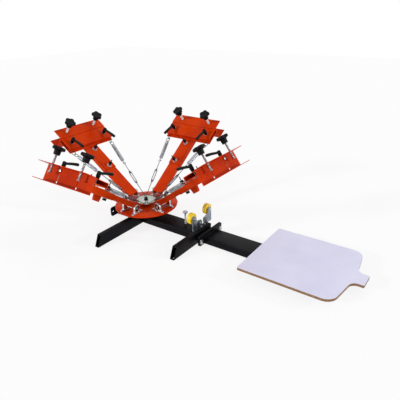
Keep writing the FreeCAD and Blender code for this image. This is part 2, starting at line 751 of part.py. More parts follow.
def make_carriage(station):
    """Sleeve on the arm, with a tongue below and a cross plate on top welded to it, and two clamp bolts."""
    sleeve = new_body("sleeve")
    section = new_sketch(sleeve, "YZ_Plane", "sleeve_section", "sleeve_start")
    draw_rectangle(section, "-" + sleeve_half, sleeve_half, "-" + sleeve_bottom, sleeve_top)
    draw_rectangle(section, "-%s + sleeve_wall" % sleeve_half, "%s - sleeve_wall" % sleeve_half,
                   "-%s + sleeve_wall" % sleeve_bottom, "%s - sleeve_wall" % sleeve_top)
    pad(sleeve, "sleeve_tube", section, "carriage_end - sleeve_start")
    tongue_bar = new_body("tongue_bar")
    tongue = new_sketch(tongue_bar, "XZ_Plane", "tongue_side")
    draw_outline(tongue, [
        ("tongue_start", "-%s" % sleeve_bottom), ("tongue_start + tongue_taper", "-%s - tongue_depth" % sleeve_bottom),
        ("tongue_start + tongue_length - tongue_taper", "-%s - tongue_depth" % sleeve_bottom),
        ("tongue_start + tongue_length", "-%s" % sleeve_bottom),
    ])
    pad(tongue_bar, "tongue", tongue, "tongue_thickness", True)
    cross_plate = new_body("cross_plate_sheet")
    plate = new_sketch(cross_plate, "XY_Plane", "cross_plate_outline", sleeve_top)
    draw_rectangle(plate, cross_plate_start, "carriage_end", "-cross_plate_width / 2", "cross_plate_width / 2")
    for side in ("-1", "1"):
        draw_rectangle(plate, hook_place + " - hook_slot_back", hook_place + " + hook_slot_front",
                       "%s * hook_spread / 2 - hook_slot_width / 2" % side,
                       "%s * hook_spread / 2 + hook_slot_width / 2" % side)
        draw_small_hole(plate, "lever_place", "%s * lever_spread / 2" % side,
                        "lever_screw_radius + running_clearance")
    pad(cross_plate, "cross_plate", plate, "cross_plate_thickness")
    pieces = [sleeve, tongue_bar, cross_plate]
    for reach in ("clamp_bolt_back", "clamp_bolt_front"):
        washer = hexagon_bar("washer", "clamp_washer_radius", "clamp_washer_thickness", reach, "0", sleeve_top)
        nut = hexagon_bar("nut", "clamp_nut_radius", "clamp_nut_height", reach, "0", sleeve_top)
        stud = hexagon_bar("stud", "clamp_bolt_radius", "clamp_stud_height", reach, "0", sleeve_top)
        foot = hexagon_bar("foot", "clamp_nut_radius", "clamp_foot_height", reach, "0",
                           "-%s - clamp_foot_height" % sleeve_bottom)
        washer.Polygon = ring_sides
        pieces += [fuse("clamp_bolt", [washer, nut, stud]), foot]
    return place_on_arm(group("carriage_%d" % station, pieces), station)


def make_registration_channel(station):
    """Channel on the cross plate, slotted for the lever screws, with the holder's two bolts."""
    body = new_body("channel")
    section = new_sketch(body, "XZ_Plane", "channel_section")
    inner_start = channel_start + " + channel_wall"
    inner_end = "carriage_end - channel_wall"
    inner_top = channel_top + " - channel_wall"
    draw_outline(section, [
        (channel_start, cross_plate_top), (inner_start, cross_plate_top), (inner_start, inner_top),
        (inner_end, inner_top), (inner_end, cross_plate_top), ("carriage_end", cross_plate_top),
        ("carriage_end", channel_top), (channel_start, channel_top),
    ])
    pad(body, "channel_bar", section, "cross_plate_width", True)
    slots = new_sketch(body, "XY_Plane", "lever_slots", channel_top + " + overrun")
    reach = "(lever_screw_radius + slot_clearance)"
    for side in ("-1", "1"):
        middle = "%s * lever_spread / 2" % side
        draw_rectangle(slots, "lever_place - " + reach, "lever_place + " + reach,
                       "%s - channel_slot_travel - %s" % (middle, reach),
                       "%s + channel_slot_travel + %s" % (middle, reach))
    pocket(body, "lever_slot_cut", slots, "channel_wall + 2 * overrun")
    bolts = []
    for side in ("-1", "1"):
        across = "%s * holder_bolt_spread / 2" % side
        length = "(channel_wall + holder_bolt_tail + 2 * holder_gap + holder_wall)"
        shank = hexagon_bar("bolt_shank", "holder_bolt_radius", length,
                            "carriage_end - channel_wall - holder_bolt_tail", across, "holder_bolt_rise", "x")
        head = hexagon_bar("bolt_head", "holder_bolt_head", "holder_bolt_head_height",
                           "%s + holder_wall + holder_gap" % holder_back, across, "holder_bolt_rise", "x")
        bolts += [shank, head]
    return place_on_arm(fuse("registration_channel_%d" % station, [body] + bolts), station)


def make_screen_holder(station):
    """Channel that the screen frame slides into, hung on two bolts by keyhole slots."""
    body = new_body("holder")
    section = new_sketch(body, "XZ_Plane", "holder_section")
    lip = "%s + holder_reach" % holder_back
    front = "%s + holder_wall" % holder_back
    draw_outline(section, [
        (holder_back, "-holder_bottom"), (lip, "-holder_bottom"), (lip, "-holder_bottom + holder_wall"),
        (front, "-holder_bottom + holder_wall"), (front, "holder_top - holder_wall"),
        (lip, "holder_top - holder_wall"), (lip, "holder_top"), (holder_back, "holder_top"),
    ])
    pad(body, "holder_bar", section, "holder_width", True)
    slots = new_sketch(body, "YZ_Plane", "keyhole_slots", holder_back + " - overrun")
    reach = "(holder_bolt_radius + keyhole_clearance)"
    for side in ("-1", "1"):
        middle = "%s * holder_bolt_spread / 2" % side
        draw_rectangle(slots, "%s - %s" % (middle, reach), "%s + %s" % (middle, reach),
                       "-keyhole_drop", "holder_bolt_rise + " + reach)
    pocket(body, "keyhole_slot_cut", slots, "holder_wall + 2 * overrun", False, True)
    rounds = new_sketch(body, "YZ_Plane", "keyhole_rounds", holder_back + " - overrun")
    for side in ("-1", "1"):
        draw_circle(rounds, "%s * holder_bolt_spread / 2" % side, "-keyhole_drop", "keyhole_radius")
        draw_small_hole(rounds, "%s * holder_side_hole_spread / 2" % side, "holder_side_hole_rise",
                        "holder_side_hole_radius")
    pocket(body, "keyhole_round_cut", rounds, "holder_wall + 2 * overrun", False, True)
    screws = new_sketch(body, "XY_Plane", "knob_holes", "holder_top + overrun")
    for side in ("-1", "1"):
        draw_small_hole(screws, "knob_place", "%s * knob_spread / 2" % side,
                        "knob_screw_radius + running_clearance")
    pocket(body, "knob_hole_cut", screws, "holder_wall + 2 * overrun")
    body.Label = "screen_holder_%d" % station
    return place_on_arm(body, station)


def make_knob(station, side, name):
    """Star knob with its screw, which presses the screen frame down in the holder."""
    star = new_body("star")
    across = "%d * knob_spread / 2" % side
    head_start = "knob_start + knob_neck_height"
    outline = new_sketch(star, "XY_Plane", "star_outline", head_start)
    waist = "knob_scallop_place - knob_scallop_radius"
    draw_star(outline, "0", "0", ["knob_radius", "knob_radius", waist, waist], knob_lobes)
    pad(star, "star_disc", outline, "knob_thickness")
    neck = new_sketch(star, "XY_Plane", "knob_neck", "knob_start")
    draw_star(neck, "0", "0", ["knob_neck_radius"], ring_sides)
    pad(star, "knob_neck_pad", neck, "knob_neck_height")
    place(star, "knob_place", across)
    foot_start = "(holder_top - holder_wall - knob_foot_drop - knob_foot_height)"
    screw = hexagon_bar("screw", "knob_screw_radius", "knob_start - " + foot_start, "knob_place", across, foot_start)
    foot = hexagon_bar("screw_foot", "knob_foot_radius", "knob_foot_height", "knob_place", across, foot_start)
    foot.Polygon = ring_sides
    return place_on_arm(group(name, [star, fuse("knob_screw", [screw, foot])]), station)


def make_lever(station, side, name):
    """Clamping lever on the registration channel, its handle towards the hub."""
    across = "%d * lever_spread / 2" % side
    seat = "(%s + lever_seat_gap)" % channel_top
    hub = hexagon_bar("lever_hub", "lever_hub_radius", "lever_hub_height", "lever_place", across, seat)
    hub.Polygon = ring_sides
    grip = new_body("lever_handle")
    sections = []
    for radius, height in (("lever_root_radius", "0"), ("lever_tip_radius", "lever_length")):
        section = new_sketch(grip, "XY_Plane", "section_" + radius, height)
        draw_star(section, "0", "0", [radius], small_hole_sides)
        sections.append(section)
    handle = grip.newObject("PartDesign::AdditiveLoft", "handle")
    handle.Profile = sections[0]
    handle.Sections = sections[1:]
    handle.Ruled = True
    place(grip, "lever_place", across, seat + " + lever_start_height", "0", "lever_slope - %s" % quarter_turn)
    screw_end = "(%s - lever_screw_tail)" % sleeve_top
    screw = hexagon_bar("lever_screw", "lever_screw_radius", "%s - %s" % (seat, screw_end),
                        "lever_place", across, screw_end)
    return place_on_arm(group(name, [fuse("lever_grip", [hub, grip]), screw]), station)


def coil_seat(start, side):
    """The bent end of a spring line that the coil's end rests on, above or below the axis."""
    high = "coil_wire + coil_seat_gap"
    far = "2 * coil_wire + coil_seat_gap"
    low_end, high_end = (high, far) if side > 0 else ("-(%s)" % far, "-(%s)" % high)
    root_start, root_end = ("-rod_radius", far) if side > 0 else ("-(%s)" % far, "rod_radius")
    arm = box("seat_arm", start, start + " + coil_wire", "-rod_radius", "coil_radius + coil_wire / 2",
              low_end, high_end)
    root = box("seat_root", start, start + " + coil_wire", "-rod_radius", "rod_radius", root_start, root_end)
    return [arm, root]


def make_turnbuckles(station):
    """The stiff half of each spring line: eye, rod, turnbuckle, rod and a small ring."""
    lines = []
    for side in (-1, 1):
        start = "turnbuckle_start_share * %s" % spring_length
        end = "turnbuckle_end_share * %s" % spring_length
        ring_place = "small_ring_share * %s" % spring_length
        eye = ring("eye", "eye_ring_radius", "ring_wire", "eye_ring_radius")
        rod_start = "(2 * eye_ring_radius)"
        rod = hexagon_bar("eye_rod", "rod_radius", "%s + turnbuckle_end + 2 * rod_radius - %s" % (start, rod_start),
                          rod_start, "0", "0", "x")
        frame = box("frame", start, end, "-turnbuckle_width / 2", "turnbuckle_width / 2",
                    "-turnbuckle_height / 2", "turnbuckle_height / 2")
        window = box("window", start + " + turnbuckle_end", end + " - turnbuckle_end",
                     "-turnbuckle_width / 2 + turnbuckle_bar", "turnbuckle_width / 2 - turnbuckle_bar",
                     "-turnbuckle_height / 2 - overrun", "turnbuckle_height / 2 + overrun")
        tail_start = "(%s - turnbuckle_end - 2 * rod_radius)" % end
        tail = hexagon_bar("tail_rod", "rod_radius", "%s - small_ring_radius - %s" % (ring_place, tail_start),
                           tail_start, "0", "0", "x")
        small = ring("small_ring", "small_ring_radius", "ring_wire", ring_place)
        coil_start = "coil_start_share * %s" % spring_length
        link = hexagon_bar("link", "rod_radius", "%s + coil_wire - (%s + small_ring_radius)" % (coil_start, ring_place),
                           ring_place + " + small_ring_radius", "0", "0", "x")
        line = fuse("line", [eye, rod, cut("buckle", frame, [window]), tail, small, link]
                    + coil_seat(coil_start, -1))
        lines.append(place_on_spring(line, station, side))
    return group("turnbuckles_%d" % station, lines)


def make_spring_hooks(station):
    """The hooked end of each spring, through the cross plate's hole."""
    hooks = []
    for side in (-1, 1):
        hook = ring("hook", "hook_ring_radius", "ring_wire", "%s - hook_ring_radius" % spring_length)
        stem_start = "coil_end_share * %s - coil_wire" % spring_length
        stem = hexagon_bar("hook_stem", "rod_radius",
                           "%s - 2 * hook_ring_radius - (%s)" % (spring_length, stem_start),
                           stem_start, "0", "0", "x")
        hook_line = fuse("hook_line", [hook, stem] + coil_seat(stem_start, 1))
        hooks.append(place_on_spring(hook_line, station, side))
    return group("spring_hooks_%d" % station, hooks)


def arc_between(start, corner, end):
    """The arc from start to end whose tangents meet at the corner."""
    weight = start.distanceToPoint(end) / 2 / start.distanceToPoint(corner)
    middle = (start + corner * (2 * weight) + end) * (1 / (2 + 2 * weight))
    return Part.Arc(start, middle, end).toShape()


def biarc(start, start_way, end, end_way):
    """Two arcs that join two points with the given directions."""
    gap = end - start
    ways = start_way + end_way
    bend = 2 - 2 * start_way.dot(end_way)
    reach = (math.sqrt(gap.dot(ways) ** 2 + bend * gap.dot(gap)) - gap.dot(ways)) / bend
    first = start + start_way * reach
    second = end - end_way * reach
    join = (first + second) * 0.5
    return [arc_between(start, first, join), arc_between(join, second, end)]


def coil_shape(start, end, radius, wire, curls):
    """A wound spring along X: a faceted wire along a helix, straight at both ends."""
    helix_start = start + wire
    pitch = (end - start - 2 * wire) / curls

    def point(turns):
        angle = math.tau * turns
        return Vector(helix_start + pitch * turns, radius * math.cos(angle), radius * math.sin(angle))

    def way(turns):
        angle = math.tau * turns
        return Vector(pitch, -math.tau * radius * math.sin(angle), math.tau * radius * math.cos(angle)).normalize()

    halves = 2
    steps = curls * halves
    first = point(0)
    last = point(curls)
    edges = [Part.LineSegment(first - way(0) * wire, first).toShape()]
    for step in range(steps):
        near = step / halves
        far = (step + 1) / halves
        edges += biarc(point(near), way(near), point(far), way(far))
    edges.append(Part.LineSegment(last, last + way(curls) * wire).toShape())
    spine = Part.Wire(edges)
    corners = 4
    tip = first - way(0) * wire
    across = Vector(0, 1, 0)
    upright = way(0).cross(across).normalize()
    across = upright.cross(way(0)).normalize()
    ring_points = []
    for corner in range(corners + 1):
        angle = math.tau * (corner + 0.5) / corners
        ring_points.append(tip + (across * math.cos(angle) + upright * math.sin(angle)) * (wire / math.sqrt(2)))
    profile = Part.makePolygon(ring_points)
    tube = spine.makePipeShell([profile], True, False)
    samples = [point(turns / 24) for turns in range(24 * curls + 1)]
    gap = min(a.distanceToPoint(b) for row, a in enumerate(samples) for b in samples[row + 18:]) - wire
    return tube, gap, wire * wire * spine.Length


def make_springs(station):
    """The two wound springs of one arm, each one unbroken wire."""
    length = spring_length_mm()
    coils = []
    for side in (-1, 1):
        coil, gap, expected = coil_shape(sheet.get("coil_start_share") * length,
                                         sheet.get("coil_end_share") * length, sheet.get("coil_radius"),
                                         sheet.get("coil_wire"), coil_curls)
        print("coil %d %+d: least gap %.2f mm, volume %.0f of %.0f" % (station, side, gap, coil.Volume, expected))
        item = doc.addObject("Part::Feature", "coil")
        item.Shape = coil
        coils.append(place_on_spring(item, station, side))
    return group("springs_%d" % station, coils)


def spring_length_mm():
    """The length of a spring line at rest, worked out as its formula does."""
    tilt = math.radians(sheet.get("arm_tilt"))
    eye = math.radians(sheet.get("eye_angle"))
    reach = sheet.get("carriage_end") - sheet.get("cross_plate_length") + sheet.get("hook_inset")
    rise = (sheet.get("arm_top") + sheet.get("sleeve_clearance") + sheet.get("sleeve_wall")
            + sheet.get("cross_plate_thickness") / 2)
    hub = sheet.get("boss_height") + sheet.get("hub_plate_thickness") / 2 - sheet.get("pivot_rise")
    run = (sheet.get("pivot_reach") + reach * math.cos(tilt) - rise * math.sin(tilt)
           - sheet.get("eye_radius") * math.cos(eye))
    side = sheet.get("hook_spread") / 2 - sheet.get("eye_radius") * math.sin(eye)
    climb = reach * math.sin(tilt) + rise * math.cos(tilt) - hub
    return math.sqrt(run ** 2 + side ** 2 + climb ** 2)


# The gate's bolts on one side, as reach from the middle and rise above the foot
gate_bolt_places = [("gate_bolt_inner", "gate_bolt_inner_rise"), ("gate_bolt_outer", "gate_bolt_outer_rise")]


def make_gate_plates():
    """Two upright plates on the bracket, with a slot between them for the tongue."""
    plates = []
    for side in ("-1", "1"):
        body = new_body("gate_plate")
        face = new_sketch(body, "YZ_Plane", "gate_face", gate_back + " - gate_plate_thickness")
        sill = "gate_plate_sill"
        draw_outline(face, [("%s * (%s)" % (side, u), v) for u, v in [
            ("gate_slot / 2", "foot_height + gate_lug_height"),
            ("gate_plate_reach", "foot_height + gate_lug_height"),
            ("gate_plate_reach", "gate_plate_top"),
            ("gate_plate_neck", "gate_plate_top"),
            ("gate_plate_neck", "gate_plate_shoulder"),
            ("gate_plate_sill_reach", sill + " + gate_plate_sill_rise"),
            ("gate_slot / 2", sill),
        ]])
        for reach, rise in gate_bolt_places:
            draw_small_hole(face, "%s * %s" % (side, reach), "foot_height + " + rise,
                            "gate_bolt_radius + running_clearance")
        draw_small_hole(face, "%s * %s" % (side, roller_middle), roller_height,
                        "roller_bolt_radius + running_clearance")
        pad(body, "gate_plate_pad", face, "gate_plate_thickness")
        plates.append(body)
    return group("gate_plates", plates)


def make_gate_bolts():
    """Bolts of the gate plates, and the bolts that the rollers turn on."""
    bolts = []
    plate_front = gate_back + " - gate_plate_thickness"
    for side in ("-1", "1"):
        for reach, rise in gate_bolt_places:
            across = "%s * %s" % (side, reach)
            height = "foot_height + " + rise
            head = hexagon_bar("gate_head", "gate_bolt_head", "gate_bolt_head_height",
                               plate_front + " - gate_bolt_head_height", across, height, "x")
            shank = hexagon_bar("gate_shank", "gate_bolt_radius",
                                "gate_plate_thickness + gate_bracket_thickness + gate_bolt_head_height",
                                plate_front, across, height, "x")
            bolts.append(fuse("gate_bolt", [head, shank]))
        across = "%s * %s" % (side, roller_middle)
        stack = "(roller_thickness + 2 * roller_side_gap + roller_spacer)"
        head = hexagon_bar("roller_head", "roller_bolt_head", "roller_bolt_head_height",
                           "%s - %s - roller_bolt_head_height" % (plate_front, stack), across, roller_height, "x")
        axle = cylinder("roller_axle", "roller_bolt_radius", stack + " + gate_plate_thickness",
                        "%s - %s" % (plate_front, stack), across, roller_height, "x")
        spacer = cylinder("roller_spacer_ring", "roller_spacer_radius", "roller_spacer",
                          plate_front + " - roller_spacer", across, roller_height, "x")
        nut = hexagon_bar("roller_nut", "roller_bolt_head", "roller_bolt_head_height",
                          gate_back, across, roller_height, "x")
        bolts.append(fuse("roller_bolt", [head, axle, spacer, nut]))
    return group("gate_bolts", bolts)


def make_roller(side, name):
    """Tyre that guides the lowered sleeve, free to turn on its bolt."""
    across = "%d * %s" % (side, roller_middle)
    start = "(%s - gate_plate_thickness - roller_spacer - roller_side_gap - roller_thickness)" % gate_back
    tyre = cylinder("tyre", "roller_radius", "roller_thickness", start, across, roller_height, "x")
    bore = cylinder("tyre_bore", "roller_bolt_radius + running_clearance", "roller_thickness + 2 * overrun",
                    start + " - overrun", across, roller_height, "x")
    return cut(name, tyre, [bore])


def make_stop_bolt():
    """Height stop: a bolt screwed up or down through the top of the beam."""
    shank = cylinder("stop_shank", "stop_radius", "stop_top - beam_height + stop_tail",
                     "stop_place", "stop_offset", "beam_height - stop_tail")
    head = hexagon_bar("stop_head", "stop_head_radius", "stop_head_height", "stop_place", "stop_offset",
                       "stop_top - stop_head_height")
    return fuse("stop_bolt", [shank, head])


nodes = [
    make_base_beam(), make_rear_foot(), make_front_foot(), make_pallet_arm(), make_pallet(),
    make_flange_bolts(), make_gate_plates(), make_gate_bolts(), make_roller(-1, "roller_near"),
    make_roller(1, "roller_far"), make_stop_bolt(), make_center_post(), make_turntable(),
    make_pillow_blocks(), make_pillow_bolts(), make_hub_plate(),
]
for station in range(stations):
    nodes += [
        make_arm(station), make_carriage(station), make_registration_channel(station),
        make_screen_holder(station), make_knob(station, -1, "knob_right_%d" % station),
        make_knob(station, 1, "knob_left_%d" % station), make_lever(station, -1, "lever_right_%d" % station),
        make_lever(station, 1, "lever_left_%d" % station), make_turnbuckles(station),
        make_springs(station), make_spring_hooks(station),
    ]
doc.recompute()

for item in doc.Objects:
    if "Invalid" in item.State or "Error" in item.State:
        raise RuntimeError("%s failed: %s" % (item.Label, item.State))
for node in nodes:
    if node.Shape.isNull() or not node.Shape.isValid():
        raise RuntimeError("%s has no valid shape" % node.Label)

os.makedirs("parts", exist_ok=True)
for node in nodes:
    node.Shape.exportStep("parts/%s.step" % node.Label)
print("%d sub-parts written" % len(nodes))
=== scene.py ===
import bpy
import bmesh
import math
from mathutils import Matrix, Vector


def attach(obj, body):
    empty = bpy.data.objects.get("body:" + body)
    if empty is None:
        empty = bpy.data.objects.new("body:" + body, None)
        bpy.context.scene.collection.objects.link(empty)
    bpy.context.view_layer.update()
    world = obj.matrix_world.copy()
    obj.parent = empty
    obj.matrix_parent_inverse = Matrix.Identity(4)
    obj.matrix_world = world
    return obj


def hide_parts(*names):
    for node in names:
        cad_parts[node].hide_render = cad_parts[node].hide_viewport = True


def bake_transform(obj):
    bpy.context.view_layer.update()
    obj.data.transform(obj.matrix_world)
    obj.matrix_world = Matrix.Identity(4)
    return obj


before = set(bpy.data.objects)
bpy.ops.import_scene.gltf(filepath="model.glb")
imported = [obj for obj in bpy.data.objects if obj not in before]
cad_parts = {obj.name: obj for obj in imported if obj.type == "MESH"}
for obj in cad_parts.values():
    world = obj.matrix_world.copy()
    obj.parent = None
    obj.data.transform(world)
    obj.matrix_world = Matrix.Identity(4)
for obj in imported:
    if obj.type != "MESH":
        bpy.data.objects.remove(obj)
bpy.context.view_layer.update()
print("frame:", len(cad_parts), "nodes")

# Lengths in the settings are millimetres. Blender works in metres.
mm = 0.001
stations = 4
apart = 360 / stations  # degrees from one arm to the next
hands = ((-1, "right"), (1, "left"))
crease = 32  # an edge bent by more degrees than this stays sharp

studio = {
    "cameraPlace": (1576.05, -1645.59, 1152.53), "lens": 37.91, "sensor": 36, "reach": 30,
    "azimuth": 35.76, "elevation": 24.72, "roll": -1.12,
    "background": "#ffffff", "fill": 0.6, "floor": "#f2f2f2", "floorShow": 0.82, "floorHalf": 9,
    "lamps": [  # name, power, side and height that the light comes from, softness
        ("topLamp", 0.35, 20, 62, 22),
        ("leftLamp", 1.4, -122, 21, 6),
        ("rightLamp", 1.1, 30, 21, 6),
    ],
}


def linear(code):  # sRGB hex to linear colour
    parts = [int(code[i:i + 2], 16) / 255 for i in (1, 3, 5)]
    return [v / 12.92 if v <= 0.04045 else ((v + 0.055) / 1.055) ** 2.4 for v in parts] + [1]


def addNode(tree, kind, settings=None, links=None):
    node = tree.nodes.new(kind)
    for key, value in (settings or {}).items():
        if key == "stops":
            while len(node.color_ramp.elements) < len(value):
                node.color_ramp.elements.new(0.5)
            for element, (place, code) in zip(node.color_ramp.elements, value):
                element.position = place
                element.color = linear(code)
        elif isinstance(key, str) and hasattr(node, key):
            setattr(node, key, value)
        else:
            node.inputs[key].default_value = value
    for key, source in (links or {}).items():  # a node gives its first output
        tree.links.new(getattr(source, "outputs", [source])[0], node.inputs[key])
    return node


def newFinish(name, **sockets):  # a material with one surface shader and its level settings
    finish = bpy.data.materials.new(name)
    finish.use_nodes = True
    shader = finish.node_tree.nodes["Principled BSDF"]
    for key, value in sockets.items():
        shader.inputs[key.replace("_", " ")].default_value = value
    return finish, finish.node_tree, shader


def intoShader(tree, shader, **nodes):  # each node feeds the socket it is named for
    for key, node in nodes.items():
        tree.links.new(node.outputs[0], shader.inputs[key.replace("_", " ")])


def raysThatSeeWhite(tree):  # the camera, gloss and glass see the plain white backdrop
    rays = addNode(tree, "ShaderNodeLightPath")
    either = addNode(tree, "ShaderNodeMath", {"operation": "MAXIMUM"},
                     {0: rays.outputs["Is Camera Ray"], 1: rays.outputs["Is Glossy Ray"]})
    return addNode(tree, "ShaderNodeMath", {"operation": "MAXIMUM"},
                   {0: either, 1: rays.outputs["Is Transmission Ray"]})


def addObject(name, data):
    thing = bpy.data.objects.new(name, data)
    bpy.context.scene.collection.objects.link(thing)
    return thing


# Studio: white backdrop, even fill light, a soft lamp above and one at each side
def buildStudio():
    turn, rise, roll = (math.radians(studio[key]) for key in ("azimuth", "elevation", "roll"))
    level = Vector((math.cos(turn), math.sin(turn), 0))
    ahead = Vector((-math.sin(turn) * math.cos(rise), math.cos(turn) * math.cos(rise), -math.sin(rise)))
    upright = level.cross(ahead)
    right = level * math.cos(roll) + upright * math.sin(roll)
    up = upright * math.cos(roll) - level * math.sin(roll)
    lens = bpy.data.cameras.new("camera")
    lens.lens = studio["lens"]
    lens.sensor_width = studio["sensor"]
    lens.clip_end = studio["reach"]
    camera = addObject("camera", lens)
    camera.matrix_world = Matrix.Translation(Vector(studio["cameraPlace"]) * mm) @ \
        Matrix((right, up, -ahead)).transposed().to_4x4()
    bpy.context.scene.camera = camera
    bpy.context.scene.view_settings.view_transform = "Standard"

    world = bpy.data.worlds.new("studio")
    bpy.context.scene.world = world
    world.use_nodes = True
    tree = world.node_tree
    seen = raysThatSeeWhite(tree)
    fill = tree.nodes["Background"]
    fill.inputs["Color"].default_value = (1, 1, 1, 1)
    fill.inputs["Strength"].default_value = studio["fill"]
    white = addNode(tree, "ShaderNodeBackground", {"Color": linear(studio["background"])})
    mix = addNode(tree, "ShaderNodeMixShader", None, {0: seen, 1: fill, 2: white})
    tree.links.new(mix.outputs[0], tree.nodes["World Output"].inputs["Surface"])

    for name, power, side, height, soft in studio["lamps"]:
        lamp = bpy.data.lights.new(name, "SUN")
        lamp.energy = power
        lamp.angle = math.radians(soft)
        addObject(name, lamp).rotation_euler = (math.radians(90 - height), 0, math.radians(side + 90))

    # paper floor: matt, shown nearly white to the camera, still catching the shadow
    paper, tree, shader = newFinish("paperFloor", Roughness=1.0, Base_Color=linear(studio["floor"]),
                                    Specular_IOR_Level=0.1)
    seen = raysThatSeeWhite(tree)
    part = addNode(tree, "ShaderNodeMath", {"operation": "MULTIPLY", 1: studio["floorShow"]}, {0: seen})
    glow = addNode(tree, "ShaderNodeEmission", {"Color": linear(studio["background"])})
    mix = addNode(tree, "ShaderNodeMixShader", None, {0: part, 1: shader, 2: glow})
    tree.links.new(mix.outputs[0], tree.nodes["Material Output"].inputs["Surface"])
    mesh = bpy.data.meshes.new("floor")
    half = studio["floorHalf"]
    mesh.from_pydata([(-half, -half, 0), (half, -half, 0), (half, half, 0), (-half, half, 0)], [],
                     [(0, 1, 2, 3)])
    mesh.materials.append(paper)
    floor = addObject("floor", mesh)
    floor.location.z = -0.5 * mm  # clear of the feet's undersides


# Finishes. The Scale of a pattern is one over its drawn size in metres.
def powderCoat(name, deep, pale, roughness, shine):
    # Epoxy polyester powder sprayed on pressed steel and baked: even glossy colour over a fine orange
    # peel. Real peel is about 1.5 mm, drawn here at 4 mm so that it shows.
    finish, tree, shader = newFinish(name, Roughness=roughness, IOR=1.5, Specular_IOR_Level=shine)
    spot = addNode(tree, "ShaderNodeTexCoord").outputs["Object"]
    peel = addNode(tree, "ShaderNodeTexNoise", {"Scale": 250, "Detail": 2}, {"Vector": spot})
    drift = addNode(tree, "ShaderNodeTexNoise", {"Scale": 9, "Detail": 5}, {"Vector": spot})
    tone = addNode(tree, "ShaderNodeValToRGB", {"stops": [(0.36, deep), (0.64, pale)]}, {0: drift})
    gloss = addNode(tree, "ShaderNodeMapRange", {
        "From Min": 0.3, "From Max": 0.7, "To Min": roughness - 0.04, "To Max": roughness + 0.06,
    }, {"Value": drift})
    bump = addNode(tree, "ShaderNodeBump", {"Strength": 0.06, "Distance": 0.0004}, {"Height": peel})
    intoShader(tree, shader, Base_Color=tone, Roughness=gloss, Normal=bump)
    return finish


def zincPlate(name, deep, pale, roughness, grain):
    # Steel electroplated with bright zinc: bluish grey metal, a little cloudy, with faint drawing marks.
    finish, tree, shader = newFinish(name, Metallic=1.0, Roughness=roughness)
    spot = addNode(tree, "ShaderNodeTexCoord").outputs["Object"]
    cloud = addNode(tree, "ShaderNodeTexNoise", {"Scale": 60, "Detail": 4}, {"Vector": spot})
    long = addNode(tree, "ShaderNodeMapping", {"Scale": grain}, {"Vector": spot})
    marks = addNode(tree, "ShaderNodeTexNoise", {"Scale": 400, "Detail": 3}, {"Vector": long})
    tone = addNode(tree, "ShaderNodeValToRGB", {"stops": [(0.3, deep), (0.7, pale)]}, {0: cloud})
    gloss = addNode(tree, "ShaderNodeMapRange", {
        "From Min": 0.3, "From Max": 0.7, "To Min": roughness - 0.08, "To Max": roughness + 0.1,
    }, {"Value": marks})
    bump = addNode(tree, "ShaderNodeBump", {"Strength": 0.1, "Distance": 0.0001}, {"Height": marks})
    intoShader(tree, shader, Base_Color=tone, Roughness=gloss, Normal=bump)
    return finish


def mouldedNylon():
    # Glass filled nylon moulded in a spark eroded tool: matt black with a fine leathery grain, worn a
    # little smoother in soft patches. The real grain is 0.3 mm, drawn at 1.2 mm so that it shows.
    finish, tree, shader = newFinish("mouldedNylon", Roughness=0.45, IOR=1.53, Specular_IOR_Level=0.1)
    spot = addNode(tree, "ShaderNodeTexCoord").outputs["Object"]
    grain = addNode(tree, "ShaderNodeTexVoronoi", {"Scale": 830}, {"Vector": spot})
    worn = addNode(tree, "ShaderNodeTexNoise", {"Scale": 45, "Detail": 2}, {"Vector": spot})
    tone = addNode(tree, "ShaderNodeValToRGB", {"stops": [(0.35, "#09090b"), (0.7, "#131316")]}, {0: worn})
    gloss = addNode(tree, "ShaderNodeMapRange", {
        "From Min": 0.35, "From Max": 0.7, "To Min": 0.38, "To Max": 0.55,
    }, {"Value": worn})
    bump = addNode(tree, "ShaderNodeBump", {"Strength": 0.2, "Distance": 0.0002}, {"Height": grain})
    intoShader(tree, shader, Base_Color=tone, Roughness=gloss, Normal=bump)
    return finish


def blackOxide():
    # High tensile steel, blackened in hot salts and oiled: dark metal, with a brown bloom where the oil
    # dried.
    finish, tree, shader = newFinish("blackOxideSteel", Metallic=0.85, Roughness=0.42)
    spot = addNode(tree, "ShaderNodeTexCoord").outputs["Object"]
    bloom = addNode(tree, "ShaderNodeTexNoise", {"Scale": 140, "Detail": 4}, {"Vector": spot})
    tone = addNode(tree, "ShaderNodeValToRGB", {"stops": [(0.3, "#131315"), (0.75, "#2c2927")]},
                   {0: bloom})
    gloss = addNode(tree, "ShaderNodeMapRange", {
        "From Min": 0.3, "From Max": 0.7, "To Min": 0.34, "To Max": 0.52,
    }, {"Value": bloom})
    intoShader(tree, shader, Base_Color=tone, Roughness=gloss)
    return finish


def castPolyurethane():
    # Polyurethane cast round the hub in an open mould: slightly see-through yellow, with a soft sheen
    # and fine dust pits.
    finish, tree, shader = newFinish("castPolyurethane", Roughness=0.38, IOR=1.5, Subsurface_Weight=0.25,
                                     Subsurface_Scale=0.004, Subsurface_Radius=(1.0, 0.7, 0.2))
    spot = addNode(tree, "ShaderNodeTexCoord").outputs["Object"]
    pits = addNode(tree, "ShaderNodeTexNoise", {"Scale": 300, "Detail": 3}, {"Vector": spot})
    tone = addNode(tree, "ShaderNodeValToRGB", {"stops": [(0.3, "#f0c400"), (0.65, "#ffe02a")]}, {0: pits})
    bump = addNode(tree, "ShaderNodeBump", {"Strength": 0.12, "Distance": 0.0002}, {"Height": pits})
    intoShader(tree, shader, Base_Color=tone, Normal=bump)
    return finish


